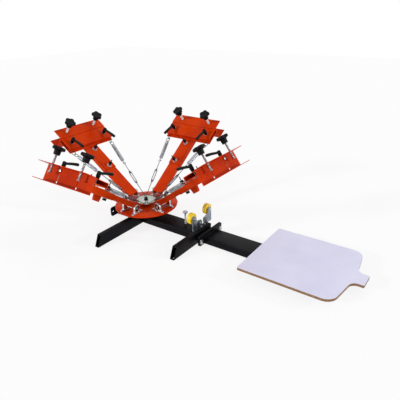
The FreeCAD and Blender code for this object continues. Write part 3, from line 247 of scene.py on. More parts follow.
def melamineLaminate():
    # Melamine paper pressed on board under a polished plate: pale lavender white, satin, with the faint
    # dimples that the plate leaves. They are 2 mm apart, drawn at 5 mm so that they show.
    finish, tree, shader = newFinish("melamineLaminate", Roughness=0.34, IOR=1.55)
    spot = addNode(tree, "ShaderNodeTexCoord").outputs["Object"]
    dimple = addNode(tree, "ShaderNodeTexVoronoi", {"Scale": 200, "feature": "SMOOTH_F1"},
                     {"Vector": spot})
    wipe = addNode(tree, "ShaderNodeTexNoise", {"Scale": 7, "Detail": 6}, {"Vector": spot})
    tone = addNode(tree, "ShaderNodeValToRGB", {"stops": [(0.3, "#d2d1ea"), (0.7, "#dcdbf0")]}, {0: wipe})
    gloss = addNode(tree, "ShaderNodeMapRange", {
        "From Min": 0.3, "From Max": 0.7, "To Min": 0.28, "To Max": 0.42,
    }, {"Value": wipe})
    bump = addNode(tree, "ShaderNodeBump", {"Strength": 0.06, "Distance": 0.0002}, {"Height": dimple})
    intoShader(tree, shader, Base_Color=tone, Roughness=gloss, Normal=bump)
    return finish


def sawnBoard():
    # Medium density board, sawn and lightly sanded: mottled brown edge, with fibres lying flat. Fibres
    # are 0.3 mm thick, drawn at 1 mm so that they show.
    finish, tree, shader = newFinish("sawnBoard", Roughness=0.85, IOR=1.45)
    spot = addNode(tree, "ShaderNodeTexCoord").outputs["Object"]
    flat = addNode(tree, "ShaderNodeMapping", {"Scale": (0.12, 0.12, 1)}, {"Vector": spot})
    fibre = addNode(tree, "ShaderNodeTexNoise", {"Scale": 900, "Detail": 5}, {"Vector": flat})
    tone = addNode(tree, "ShaderNodeValToRGB",
                   {"stops": [(0.3, "#6b4c33"), (0.5, "#8d6b4c"), (0.72, "#a98763")]}, {0: fibre})
    bump = addNode(tree, "ShaderNodeBump", {"Strength": 0.4, "Distance": 0.0003}, {"Height": fibre})
    intoShader(tree, shader, Base_Color=tone, Normal=bump)
    return finish


def castHousing():
    # Cast iron, shot blasted and sprayed with aluminium paint: pale grey with a sandy skin, its grains
    # 1 mm wide.
    finish, tree, shader = newFinish("castIronPainted", Metallic=0.7, Roughness=0.38)
    spot = addNode(tree, "ShaderNodeTexCoord").outputs["Object"]
    sand = addNode(tree, "ShaderNodeTexNoise", {"Scale": 900, "Detail": 3}, {"Vector": spot})
    stain = addNode(tree, "ShaderNodeTexNoise", {"Scale": 70, "Detail": 4}, {"Vector": spot})
    tone = addNode(tree, "ShaderNodeValToRGB", {"stops": [(0.3, "#a6a7a9"), (0.7, "#cfcfd1")]},
                   {0: stain})
    bump = addNode(tree, "ShaderNodeBump", {"Strength": 0.5, "Distance": 0.0003}, {"Height": sand})
    intoShader(tree, shader, Base_Color=tone, Normal=bump)
    return finish


buildStudio()
orangeCoat = powderCoat("orangePowderCoat", "#c03002", "#ce3b06", 0.24, 0.05)
blackCoat = powderCoat("blackPowderCoat", "#0c0c0f", "#141418", 0.34, 0.06)
zincSheet = zincPlate("zincPlatedSheet", "#737a84", "#99a0a8", 0.3, (1, 0.08, 0.08))
zincBolt = zincPlate("zincPlatedBolt", "#a6a7ab", "#d0d0d2", 0.28, (1, 1, 1))
springWire = zincPlate("drawnSpringWire", "#94979e", "#c4c7ce", 0.38, (0.2, 0.2, 1))
bentWire = zincPlate("bentZincWire", "#5e6066", "#8c8e94", 0.34, (1, 1, 1))
turnedSteel = zincPlate("turnedSteel", "#9b9a94", "#c8c7c0", 0.24, (1, 1, 0.05))
hubZinc = zincPlate("yellowZincPlate", "#b1b6ad", "#cbd0c8", 0.36, (0.1, 1, 1))  # a trace of green
dullZinc = zincPlate("dullZincPlate", "#55585e", "#7c7f85", 0.42, (1, 1, 1))
castIron = castHousing()
nylon = mouldedNylon()
darkSteel = blackOxide()
tyre = castPolyurethane()
laminate = melamineLaminate()
board = sawnBoard()
print("finishes:", len(bpy.data.materials))


# Mesh tools. All work in millimetres on the piece's own axes.
# Turns for a slab: alongX for an outline drawn across and up, alongY for one drawn along and up
alongX = Matrix(((0, 0, 1, 0), (1, 0, 0, 0), (0, 1, 0, 0), (0, 0, 0, 1)))
alongY = Matrix.Rotation(math.radians(90), 4, "X")


def moved(x=0, y=0, z=0, turn=None):
    return Matrix.Translation((x, y, z)) @ (turn or Matrix.Identity(4))


def turned(degrees, axis="Z"):
    return Matrix.Rotation(math.radians(degrees), 4, axis)


def bend(steps, start=0, sweep=360):  # angles along a bend, its last step left out
    return [math.radians(start) + math.radians(sweep) * i / steps for i in range(steps)]


def circle(radius, x=0, y=0, steps=32):
    return [(x + radius * math.cos(turn), y + radius * math.sin(turn)) for turn in bend(steps)]


def rounded(corners):  # closed outline from (x, y, radius) corners
    points = []
    for i, (x, y, radius) in enumerate(corners):
        here = Vector((x, y))
        back = (Vector(corners[i - 1][:2]) - here).normalized()
        ahead = (Vector(corners[(i + 1) % len(corners)][:2]) - here).normalized()
        if radius == 0:
            points.append(here)
            continue
        half = back.angle(ahead) / 2
        middle = here + (back + ahead).normalized() * (radius / math.sin(half))
        start = here + back * (radius / math.tan(half)) - middle
        end = here + ahead * (radius / math.tan(half)) - middle
        steps = max(2, round(math.degrees(start.angle(end)) / 12))
        points += [middle + start.slerp(end, i / steps) * radius for i in range(steps + 1)]
    return points


def rectangle(left, right, low, high, radius=0):
    corners = (left, low), (right, low), (right, high), (left, high)
    return rounded([(x, y, radius) for x, y in corners])


def tubeSection(half, low, high, wall, corner):
    return [rectangle(-half, half, low, high, corner),
            rectangle(wall - half, half - wall, low + wall, high - wall, corner - wall)]


def bothEnds(profile, width=0):  # a turned profile and its mirror image across half the width
    return profile + [(radius, width - height) for radius, height in reversed(profile)]


def slab(outlines, low, high, edge=0.5, roundness=2, turn=None):  # flat piece: its rim, then its holes
    curve = bpy.data.curves.new("slab", "CURVE")
    curve.dimensions = "2D"
    curve.fill_mode = "BOTH"
    curve.extrude = (high - low) / 2 - edge
    curve.bevel_depth = edge
    curve.bevel_resolution = roundness
    curve.offset = -edge
    for outline in outlines:
        spline = curve.splines.new("POLY")
        spline.points.add(len(outline) - 1)
        for point, (x, y) in zip(spline.points, outline):
            point.co = (x, y, 0, 1)
        spline.use_cyclic_u = True
    holder = addObject("slab", curve)
    bpy.context.view_layer.update()
    mesh = bpy.data.meshes.new_from_object(holder.evaluated_get(bpy.context.evaluated_depsgraph_get()))
    bpy.data.objects.remove(holder)
    mesh.transform(Matrix.Translation((0, 0, (low + high) / 2)))
    shape = bmesh.new()
    shape.from_mesh(mesh)
    bmesh.ops.remove_doubles(shape, verts=shape.verts, dist=0.001)
    bmesh.ops.recalc_face_normals(shape, faces=shape.faces)
    shape.to_mesh(mesh)
    shape.free()
    mesh.transform(turn or Matrix.Identity(4))
    return mesh


def cutter(outline, low, high, turn=None):  # its edges are too fine to show
    return slab([outline], low, high, 0.01, 0, turn)


def surface(rows, loop=False):  # skin over rows of points, each row a ring
    shape = bmesh.new()
    rings = [[shape.verts.new(point) for point in row] for row in rows]
    count = len(rings[0])
    for one, two in list(zip(rings, rings[1:])) + ([(rings[-1], rings[0])] if loop else []):
        for i in range(count):
            j = (i + 1) % count
            shape.faces.new((one[i], one[j], two[j], two[i]))
    if not loop:
        shape.faces.new(rings[0][::-1])
        shape.faces.new(rings[-1])
    bmesh.ops.remove_doubles(shape, verts=shape.verts, dist=0.001)
    bmesh.ops.dissolve_degenerate(shape, edges=shape.edges, dist=0.0005)
    bmesh.ops.recalc_face_normals(shape, faces=shape.faces)
    mesh = bpy.data.meshes.new("surface")
    shape.to_mesh(mesh)
    shape.free()
    return mesh


def lathe(profile, steps=36, closed=False):  # (radius, height) points turned about Z
    rows = [[(radius * math.cos(turn), radius * math.sin(turn), height) for turn in bend(steps)]
            for radius, height in profile]
    return surface(rows, closed)


def rod(radius, low, high, steps, place=None):
    mesh = lathe([(0, low), (radius, low), (radius, high), (0, high)], steps)
    mesh.transform(place or Matrix.Identity(4))
    return mesh


def rings(profiles, place, width=0):  # parts from turned profiles that are the same at both ends
    return [(lathe(bothEnds(profile, width), steps, closed=True), finish, place)
            for profile, steps, finish in profiles]


def wire(points, radius, sides=8, loop=False):  # round bar, its radius one number or a list
    points = [Vector(p) for p in points]
    count = len(points)
    rows = []
    across = None
    for i, point in enumerate(points):
        before = points[i - 1] if loop or i else point
        after = points[(i + 1) % count] if loop or i < count - 1 else point
        way = (after - before).normalized()
        if across is None:
            across = way.orthogonal().normalized()
        across = (across - way * across.dot(way)).normalized()
        upright = way.cross(across)
        size = radius[i] if isinstance(radius, list) else radius
        rows.append([point + (across * math.cos(turn) + upright * math.sin(turn)) * size
                     for turn in bend(sides)])
    return surface(rows, loop)


def weldBead(points, weld):  # bead whose width swells and shrinks as the weld was laid
    sizes = [weld["size"] + weld["swell"] * math.sin(i * weld["beat"]) for i in range(len(points))]
    return wire(points, sizes, weld["sides"])


def thread(radius, length, pitch=1.75, depth=0.9, steps=20):  # screw thread with a flat at both ends
    turns = math.ceil(length / pitch) + 1
    shape = bmesh.new()
    points = {}
    for i, turn in enumerate(bend(steps)):
        for j in range(2 * turns + 1):
            reach = radius if j % 2 == 0 else radius - depth
            height = min(max(pitch * (i / steps + j / 2 - 1), 0), length)
            points[i, j] = shape.verts.new((reach * math.cos(turn), reach * math.sin(turn), height))
    for j in range(2 * turns + 1):
        points[steps, j] = points.get((0, j + 2))
    for i in range(steps):
        for j in range(2 * turns):
            corners = [points[i, j], points[i + 1, j], points[i + 1, j + 1], points[i, j + 1]]
            if None not in corners:
                shape.faces.new(corners)
    for height in (0.0, length):
        cap = [shape.verts.new((radius * math.cos(turn), radius * math.sin(turn), height))
               for turn in bend(steps)]
        shape.faces.new(cap if height else cap[::-1])
    mesh = bpy.data.meshes.new("thread")
    shape.to_mesh(mesh)
    shape.free()
    return mesh


def hexHead(radius, low, high, chamfer=0.8):  # hexagon with its corners turned off on both faces
    return slab([circle(radius, steps=6)], low, high, chamfer, 1)


def washer(outer, inner, low, high):
    return slab([circle(outer), circle(inner)], low, high, min(0.4, (high - low) / 3), 1)


def cutBy(mesh, cutters):  # takes the cutters out of the mesh
    body = addObject("cutBody", mesh)
    tools = [addObject("cutTool", tool) for tool in cutters]
    for tool in tools:
        modifier = body.modifiers.new("cut", "BOOLEAN")
        modifier.object = tool
        modifier.solver = "EXACT"
    bpy.context.view_layer.update()
    result = bpy.data.meshes.new_from_object(body.evaluated_get(bpy.context.evaluated_depsgraph_get()))
    for item in tools + [body]:
        bpy.data.objects.remove(item)
    return result


def joined(parts):  # one mesh from (mesh, finish) or (mesh, finish, matrix)
    finishes = []
    shape = bmesh.new()
    for mesh, finish, *place in parts:
        if finish not in finishes:
            finishes.append(finish)
        copy = mesh.copy()
        copy.transform(place[0] if place else Matrix.Identity(4))
        copy.materials.clear()
        copy.polygons.foreach_set("material_index", [finishes.index(finish)] * len(copy.polygons))
        shape.from_mesh(copy)
        bpy.data.meshes.remove(copy)
    return fromShape(shape, finishes)


def repeated(mesh, places):  # the same mesh at several places, as one
    shape = bmesh.new()
    for place in places:
        copy = mesh.copy()
        copy.transform(place)
        shape.from_mesh(copy)
        bpy.data.meshes.remove(copy)
    return fromShape(shape, mesh.materials)


def fromShape(shape, finishes):
    mesh = bpy.data.meshes.new("joined")
    shape.to_mesh(mesh)
    shape.free()
    for finish in finishes:
        mesh.materials.append(finish)
    return mesh


def addPiece(name, mesh, body, nodes=(), place=None):
    mesh = mesh.copy()
    mesh.transform(Matrix.Scale(mm, 4) @ (place or Matrix.Identity(4)))
    mesh.polygons.foreach_set("use_smooth", [True] * len(mesh.polygons))
    mesh.set_sharp_from_angle(angle=math.radians(crease))
    mesh.name = name
    piece = addObject(name, mesh)
    if body:
        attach(piece, body)
    if nodes:
        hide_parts(*nodes)
    return piece


# Frame that stands on the table
beam = {
    "width": 114, "height": 41, "wall": 3, "corner": 5, "start": -195, "end": 447, "armStart": 453,
    "armEnd": 1180, "topHoles": [(220, -7, 3.5), (310, -25, 3.5), (281, 10, 5.05)], "drill": (30, 50),
    "flange": 6, "flangeLow": 5, "flangeTop": 62, "flangeCorner": 12, "flangeHole": 6,
    "rear": (220, 184, 33), "front": (212, 180, 28),  # flange width, hole spread and hole height
    "bolt": 5.9, "boltLength": 28, "boltTail": 22, "nut": 11, "nutHeight": 7, "washer": 13,
}
beamWeld = {"size": 2.3, "swell": 0.35, "beat": 2.1, "sides": 8, "step": 3, "out": 0.6, "ahead": 1.2,
            "low": 6, "corner": 6}


def beamTube(start, end):
    section = tubeSection(beam["width"] / 2, 0, beam["height"], beam["wall"], beam["corner"])
    return slab(section, start, end, turn=alongX)


def flange(start, width, spread, hole):
    half, inner, ceiling = width / 2, beam["width"] / 2 - beam["wall"], beam["height"] - beam["wall"]
    low, top, corner = beam["flangeLow"], beam["flangeTop"], beam["flangeCorner"]
    rim = rounded([(-half, low, corner), (-inner, low, 0), (-inner, ceiling, 2), (inner, ceiling, 2),
                   (inner, low, 0), (half, low, corner), (half, top, corner), (-half, top, corner)])
    holes = [circle(beam["flangeHole"], side * spread / 2, hole) for side in (-1, 1)]
    return slab([rim] + holes, start, start + beam["flange"], 0.7, turn=alongX)


def weldRound(place, side):  # bead where a tube meets its flange
    low, corner, out = (beamWeld[key] for key in ("low", "corner", "out"))
    half, top = beam["width"] / 2 + out, beam["height"] + out
    path = rounded([(-half, low, 0), (-half, top, corner), (half, top, corner), (half, low, 0)])
    points = []
    for one, two in zip(path[:-1], path[1:]):
        steps = max(1, round((two - one).length / beamWeld["step"]))
        points += [one.lerp(two, i / steps) for i in range(steps)]
    return weldBead([(place + side * beamWeld["ahead"], x, z) for x, z in points], beamWeld)


def buildBeams():
    start, end, armStart, thick = (beam[key] for key in ("start", "end", "armStart", "flange"))
    holes = [rod(radius, *beam["drill"], 24, moved(x, y)) for x, y, radius in beam["topHoles"]]
    parts = [cutBy(beamTube(start, end), holes), flange(start, *beam["rear"]),
             flange(end, *beam["front"]), weldRound(start + thick, 1), weldRound(end, -1)]
    addPiece("baseBeam", joined([(part, blackCoat) for part in parts]), "root", ["base_beam"])
    parts = [beamTube(armStart, beam["armEnd"]), flange(armStart, *beam["front"]),
             weldRound(armStart + thick, 1)]
    addPiece("palletArm", joined([(part, blackCoat) for part in parts]), "root", ["pallet_arm"])

    outer, nut, high = armStart + thick, beam["nut"], beam["nutHeight"]
    spread, hole = beam["front"][1:]
    shank = thread(beam["bolt"], beam["boltLength"])
    bolts = []
    for side in (-1, 1):
        at = moved(0, side * spread / 2, hole, alongX)
        bolts += [(shank, zincBolt, moved(outer - beam["boltTail"]) @ at),
                  (hexHead(nut, outer + 0.8, outer + high), zincBolt, at),
                  (washer(beam["washer"], beam["flangeHole"], outer, outer + 1), zincBolt, at),
                  (hexHead(nut, end - high, end, 1), darkSteel, at)]
    addPiece("flangeBolts", joined(bolts), "root", ["flange_bolts"])


foot = {
    "width": 28, "height": 64, "wall": 3, "slope": 27, "corner": 4, "edge": 2, "hollow": 600,
    "screw": 4, "screwInset": 16, "drill": (-2, 5),
    "rearNear": 402, "rearFar": 280, "frontPlace": 409, "frontNear": 277,
    "bracket": 5, "bracketWidth": 72, "bracketHeight": 44, "notch": 20, "slot": 20,
    "boltPlaces": [(17, 10), (27, 36)], "boltHole": 3.05,
}


def footBar(corners, screws):
    half, wall, height, long = foot["width"] / 2, foot["wall"], foot["height"], foot["hollow"]
    bar = slab([rounded(corners)], -half, half, foot["edge"], 3, alongX)
    inside = rectangle(wall - half, half - wall, wall, height - wall)
    holes = [rod(foot["screw"], *foot["drill"], 20, moved(0, place)) for place in screws]
    return cutBy(bar, [cutter(inside, -long, long, alongY)] + holes)


def buildFeet():
    half, low, top, slope = beam["width"] / 2, beam["height"], foot["height"], foot["slope"]
    corner, inset = foot["corner"], foot["screwInset"]
    near, far = -foot["rearNear"], foot["rearFar"]
    bar = footBar([(near, 0, 0), (-half, 0, 0), (-half, low, 0), (half, low, 0), (half, 0, 0),
                   (far, 0, 0), (far - slope, top, corner), (near + slope, top, corner)],
                  [near + inset, far - inset])
    addPiece("rearFoot", joined([(bar, blackCoat)]), "root", ["rear_foot"])

    near = -foot["frontNear"]
    bar = footBar([(near, 0, 0), (-half, 0, 0), (-half, low, 0), (half, low, 0), (half, top, 0),
                   (near + slope, top, corner)], [near + inset])
    wide, slot = foot["bracketWidth"] / 2, foot["slot"] / 2
    high, notch = top + foot["bracketHeight"], top + foot["notch"]
    face = rounded([(-wide, top - 1, 0), (wide, top - 1, 0), (wide, high, 5), (slot, high, 2),
                    (slot, notch, 3), (-slot, notch, 3), (-slot, high, 2), (-wide, high, 5)])
    holes = [circle(foot["boltHole"], side * reach, top + rise, 20)
             for side in (-1, 1) for reach, rise in foot["boltPlaces"]]
    bracket = slab([face] + holes, -foot["bracket"], 0, turn=alongX)
    addPiece("frontFoot", joined([(bar, blackCoat), (bracket, dullZinc)]), "root", ["front_foot"],
             moved(foot["frontPlace"]))


pallet = {
    "start": 752, "length": 473, "width": 450, "low": 41, "top": 55, "edge": 0.8, "corner": 55,
    "backCorner": 8, "neckWidth": 86, "neckLength": 53, "neckFillet": 34, "neckCorner": 3,
    "shoulderSlope": 24,
}


def buildPallet():
    start, end = pallet["start"], pallet["start"] + pallet["length"]
    half, neck, tip = pallet["width"] / 2, pallet["neckWidth"] / 2, end + pallet["neckLength"]
    near = [(start, -half, pallet["backCorner"]),
            (end - pallet["shoulderSlope"], -half, pallet["corner"]),
            (end, -neck, pallet["neckFillet"]), (tip, -neck, pallet["neckCorner"])]
    rim = rounded(near + [(x, -y, radius) for x, y, radius in reversed(near)])
    mesh = slab([rim], pallet["low"], pallet["top"], pallet["edge"], 3)
    mesh.materials.append(laminate)
    mesh.materials.append(board)
    for face in mesh.polygons:  # laminate on top and below, board at the edge
        face.material_index = 0 if abs(face.normal.z) > 0.5 else 1
    addPiece("palletBoard", mesh, "root", ["pallet"])


gate = {
    "back": 404, "thickness": 4, "reach": 86, "top": 145, "shoulder": 128, "neck": 53, "sill": 112,
    "sillReach": 43, "sillRise": 6, "slot": 20, "low": 68, "corner": 4,
    "rollerPlace": 71, "rollerHeight": 138.5, "rollerStart": 373.7, "rollerWidth": 22,
    "rollerRadius": 30, "hubRadius": 14, "bearingRadius": 9, "bore": 4.05,
    "bolt": 2.95, "boltLength": 13, "boltHead": 7, "boltHeight": 4, "washer": 8.5, "washerHole": 3.1,
    "axle": 4, "axleStart": 373.4, "axleHead": 8, "axleHeadHeight": 4, "spacer": 7, "spacerHeight": 4,
}


def buildRoller(name, body, node, side):
    radius, width, hubRim, bearing, bore = (gate[key] for key in (
        "rollerRadius", "rollerWidth", "hubRadius", "bearingRadius", "bore"))
    tread = [(hubRim, 1.5), (radius - 6, 0.6), (radius - 2.5, 0), (radius - 0.8, 0.8), (radius, 3)]
    core = [(bearing, 0.4), (hubRim - 0.8, 0.4), (hubRim + 0.3, 1.3)]
    race = [(bore, 0), (6.2, 0), (6.4, 0.8), (7.6, 0.8), (7.8, 0.2), (bearing, 0.2)]
    at = moved(gate["rollerStart"], side * gate["rollerPlace"], gate["rollerHeight"], alongX)
    profiles = (tread, 56, tyre), (core, 40, turnedSteel), (race, 32, zincBolt)
    addPiece(name, joined(rings(profiles, at, width)), body, [node])


def buildGate():
    plates, bolts = [], []
    back, slot, reach, neck = gate["back"], gate["slot"] / 2, gate["reach"], gate["neck"]
    face = back - gate["thickness"]
    shank = thread(gate["bolt"], gate["boltLength"], pitch=1.25, depth=0.6, steps=14)
    axle, start, head, high, wide = (gate[key] for key in (
        "axle", "axleStart", "axleHead", "axleHeadHeight", "spacer"))
    near = face - gate["spacerHeight"]
    spacer = lathe([(axle, near), (wide, near), (wide, face), (axle, face)], 24)
    axleParts = [hexHead(head, start - high, start), rod(axle, start, back, 24), spacer,
                 hexHead(head, back, back + high)]
    for side in (-1, 1):
        corners = [(slot, gate["low"], 1), (reach, gate["low"], gate["corner"]),
                   (reach, gate["top"], gate["corner"]), (neck, gate["top"], 2),
                   (neck, gate["shoulder"], 3),
                   (gate["sillReach"], gate["sill"] + gate["sillRise"], 4), (slot, gate["sill"], 2)]
        rim = rounded([(side * x, z, radius) for x, z, radius in corners])
        holes = [circle(foot["boltHole"], side * x, foot["height"] + rise, 20)
                 for x, rise in foot["boltPlaces"]]
        holes.append(circle(gate["bore"], side * gate["rollerPlace"], gate["rollerHeight"], 24))
        plates.append((slab([rim] + holes, face, back, 0.4, turn=alongX), zincSheet))
        for x, rise in foot["boltPlaces"]:
            at = moved(0, side * x, foot["height"] + rise, alongX)
            bolts += [(hexHead(gate["boltHead"], face - gate["boltHeight"], face - 0.6), zincBolt, at),
                      (washer(gate["washer"], gate["washerHole"], face - 0.8, face), zincBolt, at),
                      (shank, zincBolt, moved(face) @ at)]
        at = moved(0, side * gate["rollerPlace"], gate["rollerHeight"], alongX)
        bolts += [(mesh, zincBolt, at) for mesh in axleParts]
        name = "near" if side < 0 else "far"
        buildRoller("roller" + name.title(), name + "_roller", "roller_" + name, side)
    addPiece("gatePlates", joined(plates), "root", ["gate_plates"])
    addPiece("gateBolts", joined(bolts), "root", ["gate_bolts"])


stop = {"x": 281, "y": 10, "low": 27, "top": 117.7, "radius": 5, "head": 16, "headHeight": 8}


def buildStop():
    neck = stop["top"] - stop["headHeight"]
    screw = thread(stop["radius"], neck - stop["low"], pitch=1.5, depth=0.8)
    parts = [(screw, zincBolt, moved(z=stop["low"])),
             (hexHead(stop["head"], neck, stop["top"], 1.2), zincBolt)]
    addPiece("stopBolt", joined(parts), "height_stop", ["stop_bolt"], moved(stop["x"], stop["y"]))


arm = {
    "tilt": 36, "pivotReach": 126, "pivotHeight": 126, "width": 72, "wall": 3, "top": 28, "bottom": -2,
    "start": -15, "end": 440, "floorStart": 27, "fold": 4.5, "lobeDepth": 14, "lobe": 9,
    "shaftRadius": 8, "shaftHalf": 51, "cheekLow": 30, "cheekHigh": 34, "cheekLap": 6,
    "lobeCorner": 8, "cheekCorner": 14,
}
line = {  # places along a spring line are shares of its length
    "eyeReach": 62, "eyeAngle": 40.5, "eyeHeight": 122.5,
    "hookPlace": 392, "hookRise": 33.5, "hookSpread": 300,
    "buckleStart": 0.225, "buckleEnd": 0.41, "ringPlace": 0.562, "coilStart": 0.605, "coilEnd": 0.905,
    "eyeRing": 9, "hookRing": 12, "smallRing": 7, "rod": 2.5, "ringWire": 1.8,
    "coilRadius": 10.2, "coilWire": 1.6, "coilPitch": 4.6, "coilTail": 3, "endLoop": 4.4, "drawn": 1.2,
    "buckleWidth": 16, "buckleHeight": 8, "buckleBar": 2.5, "buckleBoss": 6, "buckleNut": 5.4,
    "nutHeight": 5, "hookThread": 26, "ringThread": 22,  # how far the two threads stand out
}


def onArm(station):  # the axes of a raised arm: along it from its hinge, across, and up from it
    tilt = turned(-arm["tilt"], "Y")
    return turned(apart * station) @ moved(arm["pivotReach"], 0, arm["pivotHeight"], tilt)


def eyePlace(station, side):  # where a spring line holds the hub plate
    turn = math.radians(apart * station + side * line["eyeAngle"])
    return line["eyeReach"] * math.cos(turn), line["eyeReach"] * math.sin(turn)


def springEnds(station, side):
    hook = Vector((line["hookPlace"], side * line["hookSpread"] / 2, line["hookRise"]))
    return Vector((*eyePlace(station, side), line["eyeHeight"])), onArm(station) @ hook


def onSpring(station, side):  # the axes of a spring line: along it from the hub plate's eye
    start, end = springEnds(station, side)
    way = end - start
    turn = Matrix.Rotation(math.atan2(way.y, way.x), 4, "Z")
    slope = Matrix.Rotation(-math.atan2(way.z, math.hypot(way.x, way.y)), 4, "Y")
    return Matrix.Translation(start) @ turn @ slope


# Turntable and its post
hub = {
    "plateX": 60, "plateY": 90, "plateHeight": 6, "postRadius": 24, "postTop": 92.7, "spindle": 7.5,
    "bore": 7.6, "nut": 11, "nutLow": 124.3, "nutTop": 136.3, "tip": 140.3,
    "disc": 182, "discLow": 93, "discTop": 98, "boss": 30, "bossTop": 121,
    "hubPlate": 58, "hubPlateTop": 124, "tabReach": 67.5, "tabWidth": 26, "eyeHole": 4.5,
}


def buildTurntable():
    x, y, low, top = hub["plateX"] / 2, hub["plateY"] / 2, foot["height"], hub["postTop"]
    high, wide, spindle, bore = low + hub["plateHeight"], hub["postRadius"], hub["spindle"], hub["bore"]
    nut, nutLow, nutTop = hub["nut"], hub["nutLow"], hub["nutTop"]
    base = slab([rectangle(-x, x, -y, y, 4)], low, high, 0.7)
    post = lathe([(0, high - 1), (wide + 2, high), (wide, high + 2), (wide, top - 1), (wide - 1, top),
                  (0, top)], 40)
    parts = [(base, blackCoat), (post, blackCoat), (rod(spindle, low, nutLow, 32), turnedSteel),
             (hexHead(nut, nutLow + 1, nutTop, 1.5), darkSteel),
             (washer(nut + 1.5, spindle, nutLow, nutLow + 1.2), darkSteel),
             (thread(spindle - 0.1, hub["tip"] - nutTop + 2, pitch=1.5, steps=28), darkSteel,
              moved(z=nutTop - 2))]
    addPiece("centerPost", joined(parts), "root", ["center_post"])

    floor, roof, boss = hub["discTop"], hub["bossTop"], hub["boss"]
    disc = slab([circle(hub["disc"], steps=128), circle(bore)], hub["discLow"], floor, 0.9)
    cup = lathe([(bore, floor), (boss + 3, floor), (boss + 0.8, floor + 1), (boss, floor + 3),
                 (boss, roof - 1.5), (boss - 1.5, roof), (bore, roof)], 48, closed=True)
    addPiece("turntableDisc", joined([(disc, orangeCoat), (cup, orangeCoat)]), "wheel", ["turntable"])

    # round plate with four tabs, two eye holes in each
    radius, reach, wide = hub["hubPlate"], hub["tabReach"], hub["tabWidth"] / 2
    root = math.asin(wide / radius)
    free = math.tau / stations - 2 * root
    tab = bothEnds([(radius * math.cos(root), -wide), (reach - 5, -wide), (reach - 1.5, 1.5 - wide),
                    (reach, 5 - wide)])
    rim = []
    for station in range(stations):
        middle = math.radians(apart * (station + 0.5))
        rim += [(x * math.cos(middle) - y * math.sin(middle),
                 x * math.sin(middle) + y * math.cos(middle)) for x, y in tab]
        between = [middle + root + free * i / 14 for i in range(1, 14)]
        rim += [(radius * math.cos(turn), radius * math.sin(turn)) for turn in between]
    holes = [circle(bore)] + [circle(hub["eyeHole"], *eyePlace(station, side), 20)
                              for station in range(stations) for side in (-1, 1)]
    plate = slab([rim] + holes, roof, hub["hubPlateTop"])
    addPiece("hubPlate", joined([(plate, hubZinc)]), "wheel", ["hub_plate"])


block = {
    "middle": 43, "thickness": 12, "radius": 22, "baseLength": 80, "baseTop": 105, "seat": 16.8,
    "race": 15.2, "boltSpread": 62, "head": 6, "headHeight": 3, "washer": 7.5, "bolt": 3,
    "nutLow": 89, "nutHeight": 4, "tailLow": 84, "tail": 10,
}


def pillowBlock():  # cast housing with a bearing insert, its bore across
    height, wide = arm["pivotHeight"], block["thickness"] / 2
    seat, inner, radius = block["seat"], block["race"], block["radius"]
    half, low, top = block["baseLength"] / 2, hub["discTop"], block["baseTop"]
    dome = [(radius * math.cos(turn), height + radius * math.sin(turn))
            for turn in (math.radians(a) for a in range(-10, 191, 8))]
    flank = [(half, low), (half, top - 1.5), (half - 1.5, top), (radius + 7, top), (radius + 3, top + 1),
             (radius + 0.8, top + 4)]
    rim = [(-half, low)] + flank + dome + [(-x, y) for x, y in flank[:0:-1]]
    body = slab([rim, circle(seat, 0, height, 36)], -wide, wide, 1.2, turn=alongY)
    bore, gap, lip = (arm["shaftRadius"] + more for more in (0.1, 2.4, 2.8))
    ring = [(seat - 0.1, 0.3 - wide), (seat + 0.6, -wide - 0.6), (radius - 1.6, -wide - 0.6),
            (radius - 0.4, 0.6 - wide)]
    race = [(inner, 0.6 - wide), (inner + 0.4, -wide), (seat - 0.4, -wide), (seat + 0.1, 0.6 - wide)]
    seal = [(bore, 0.4 - wide), (gap, 0.4 - wide), (lip, 1.6 - wide), (inner + 0.1, 1.4 - wide)]
    profiles = (ring, 44, turnedSteel), (race, 40, turnedSteel), (seal, 36, nylon)
    return joined([(body, castIron)] + rings(profiles, moved(z=height, turn=alongY)))


def buildBearings():
    top, head, low = block["baseTop"], block["head"], block["nutLow"]
    bolt = joined([(hexHead(head, top + 1, top + 1 + block["headHeight"]), zincBolt),
                   (washer(block["washer"], block["bolt"], top, top + 1), zincBolt),
                   (hexHead(head, low, low + block["nutHeight"]), zincBolt),
                   (thread(block["bolt"] - 0.05, block["tail"], pitch=1.25, depth=0.6, steps=12),
                    zincBolt, moved(z=block["tailLow"]))])
    blocks, bolts = [], []
    for station in range(stations):
        for side in (-1, 1):
            blocks.append(turned(apart * station) @ moved(arm["pivotReach"], side * block["middle"]))
            for step in (-1, 1):
                place = arm["pivotReach"] + step * block["boltSpread"] / 2
                bolts.append(turned(apart * station) @ moved(place, side * block["middle"]))
    addPiece("pillowBlocks", repeated(pillowBlock(), blocks), "wheel", ["pillow_blocks"])
    addPiece("pillowBolts", repeated(bolt, bolts), "wheel", ["pillow_bolts"])


buildBeams()
buildFeet()
buildPallet()
buildGate()
buildStop()
buildTurntable()
buildBearings()
print("frame and turntable pieces done")


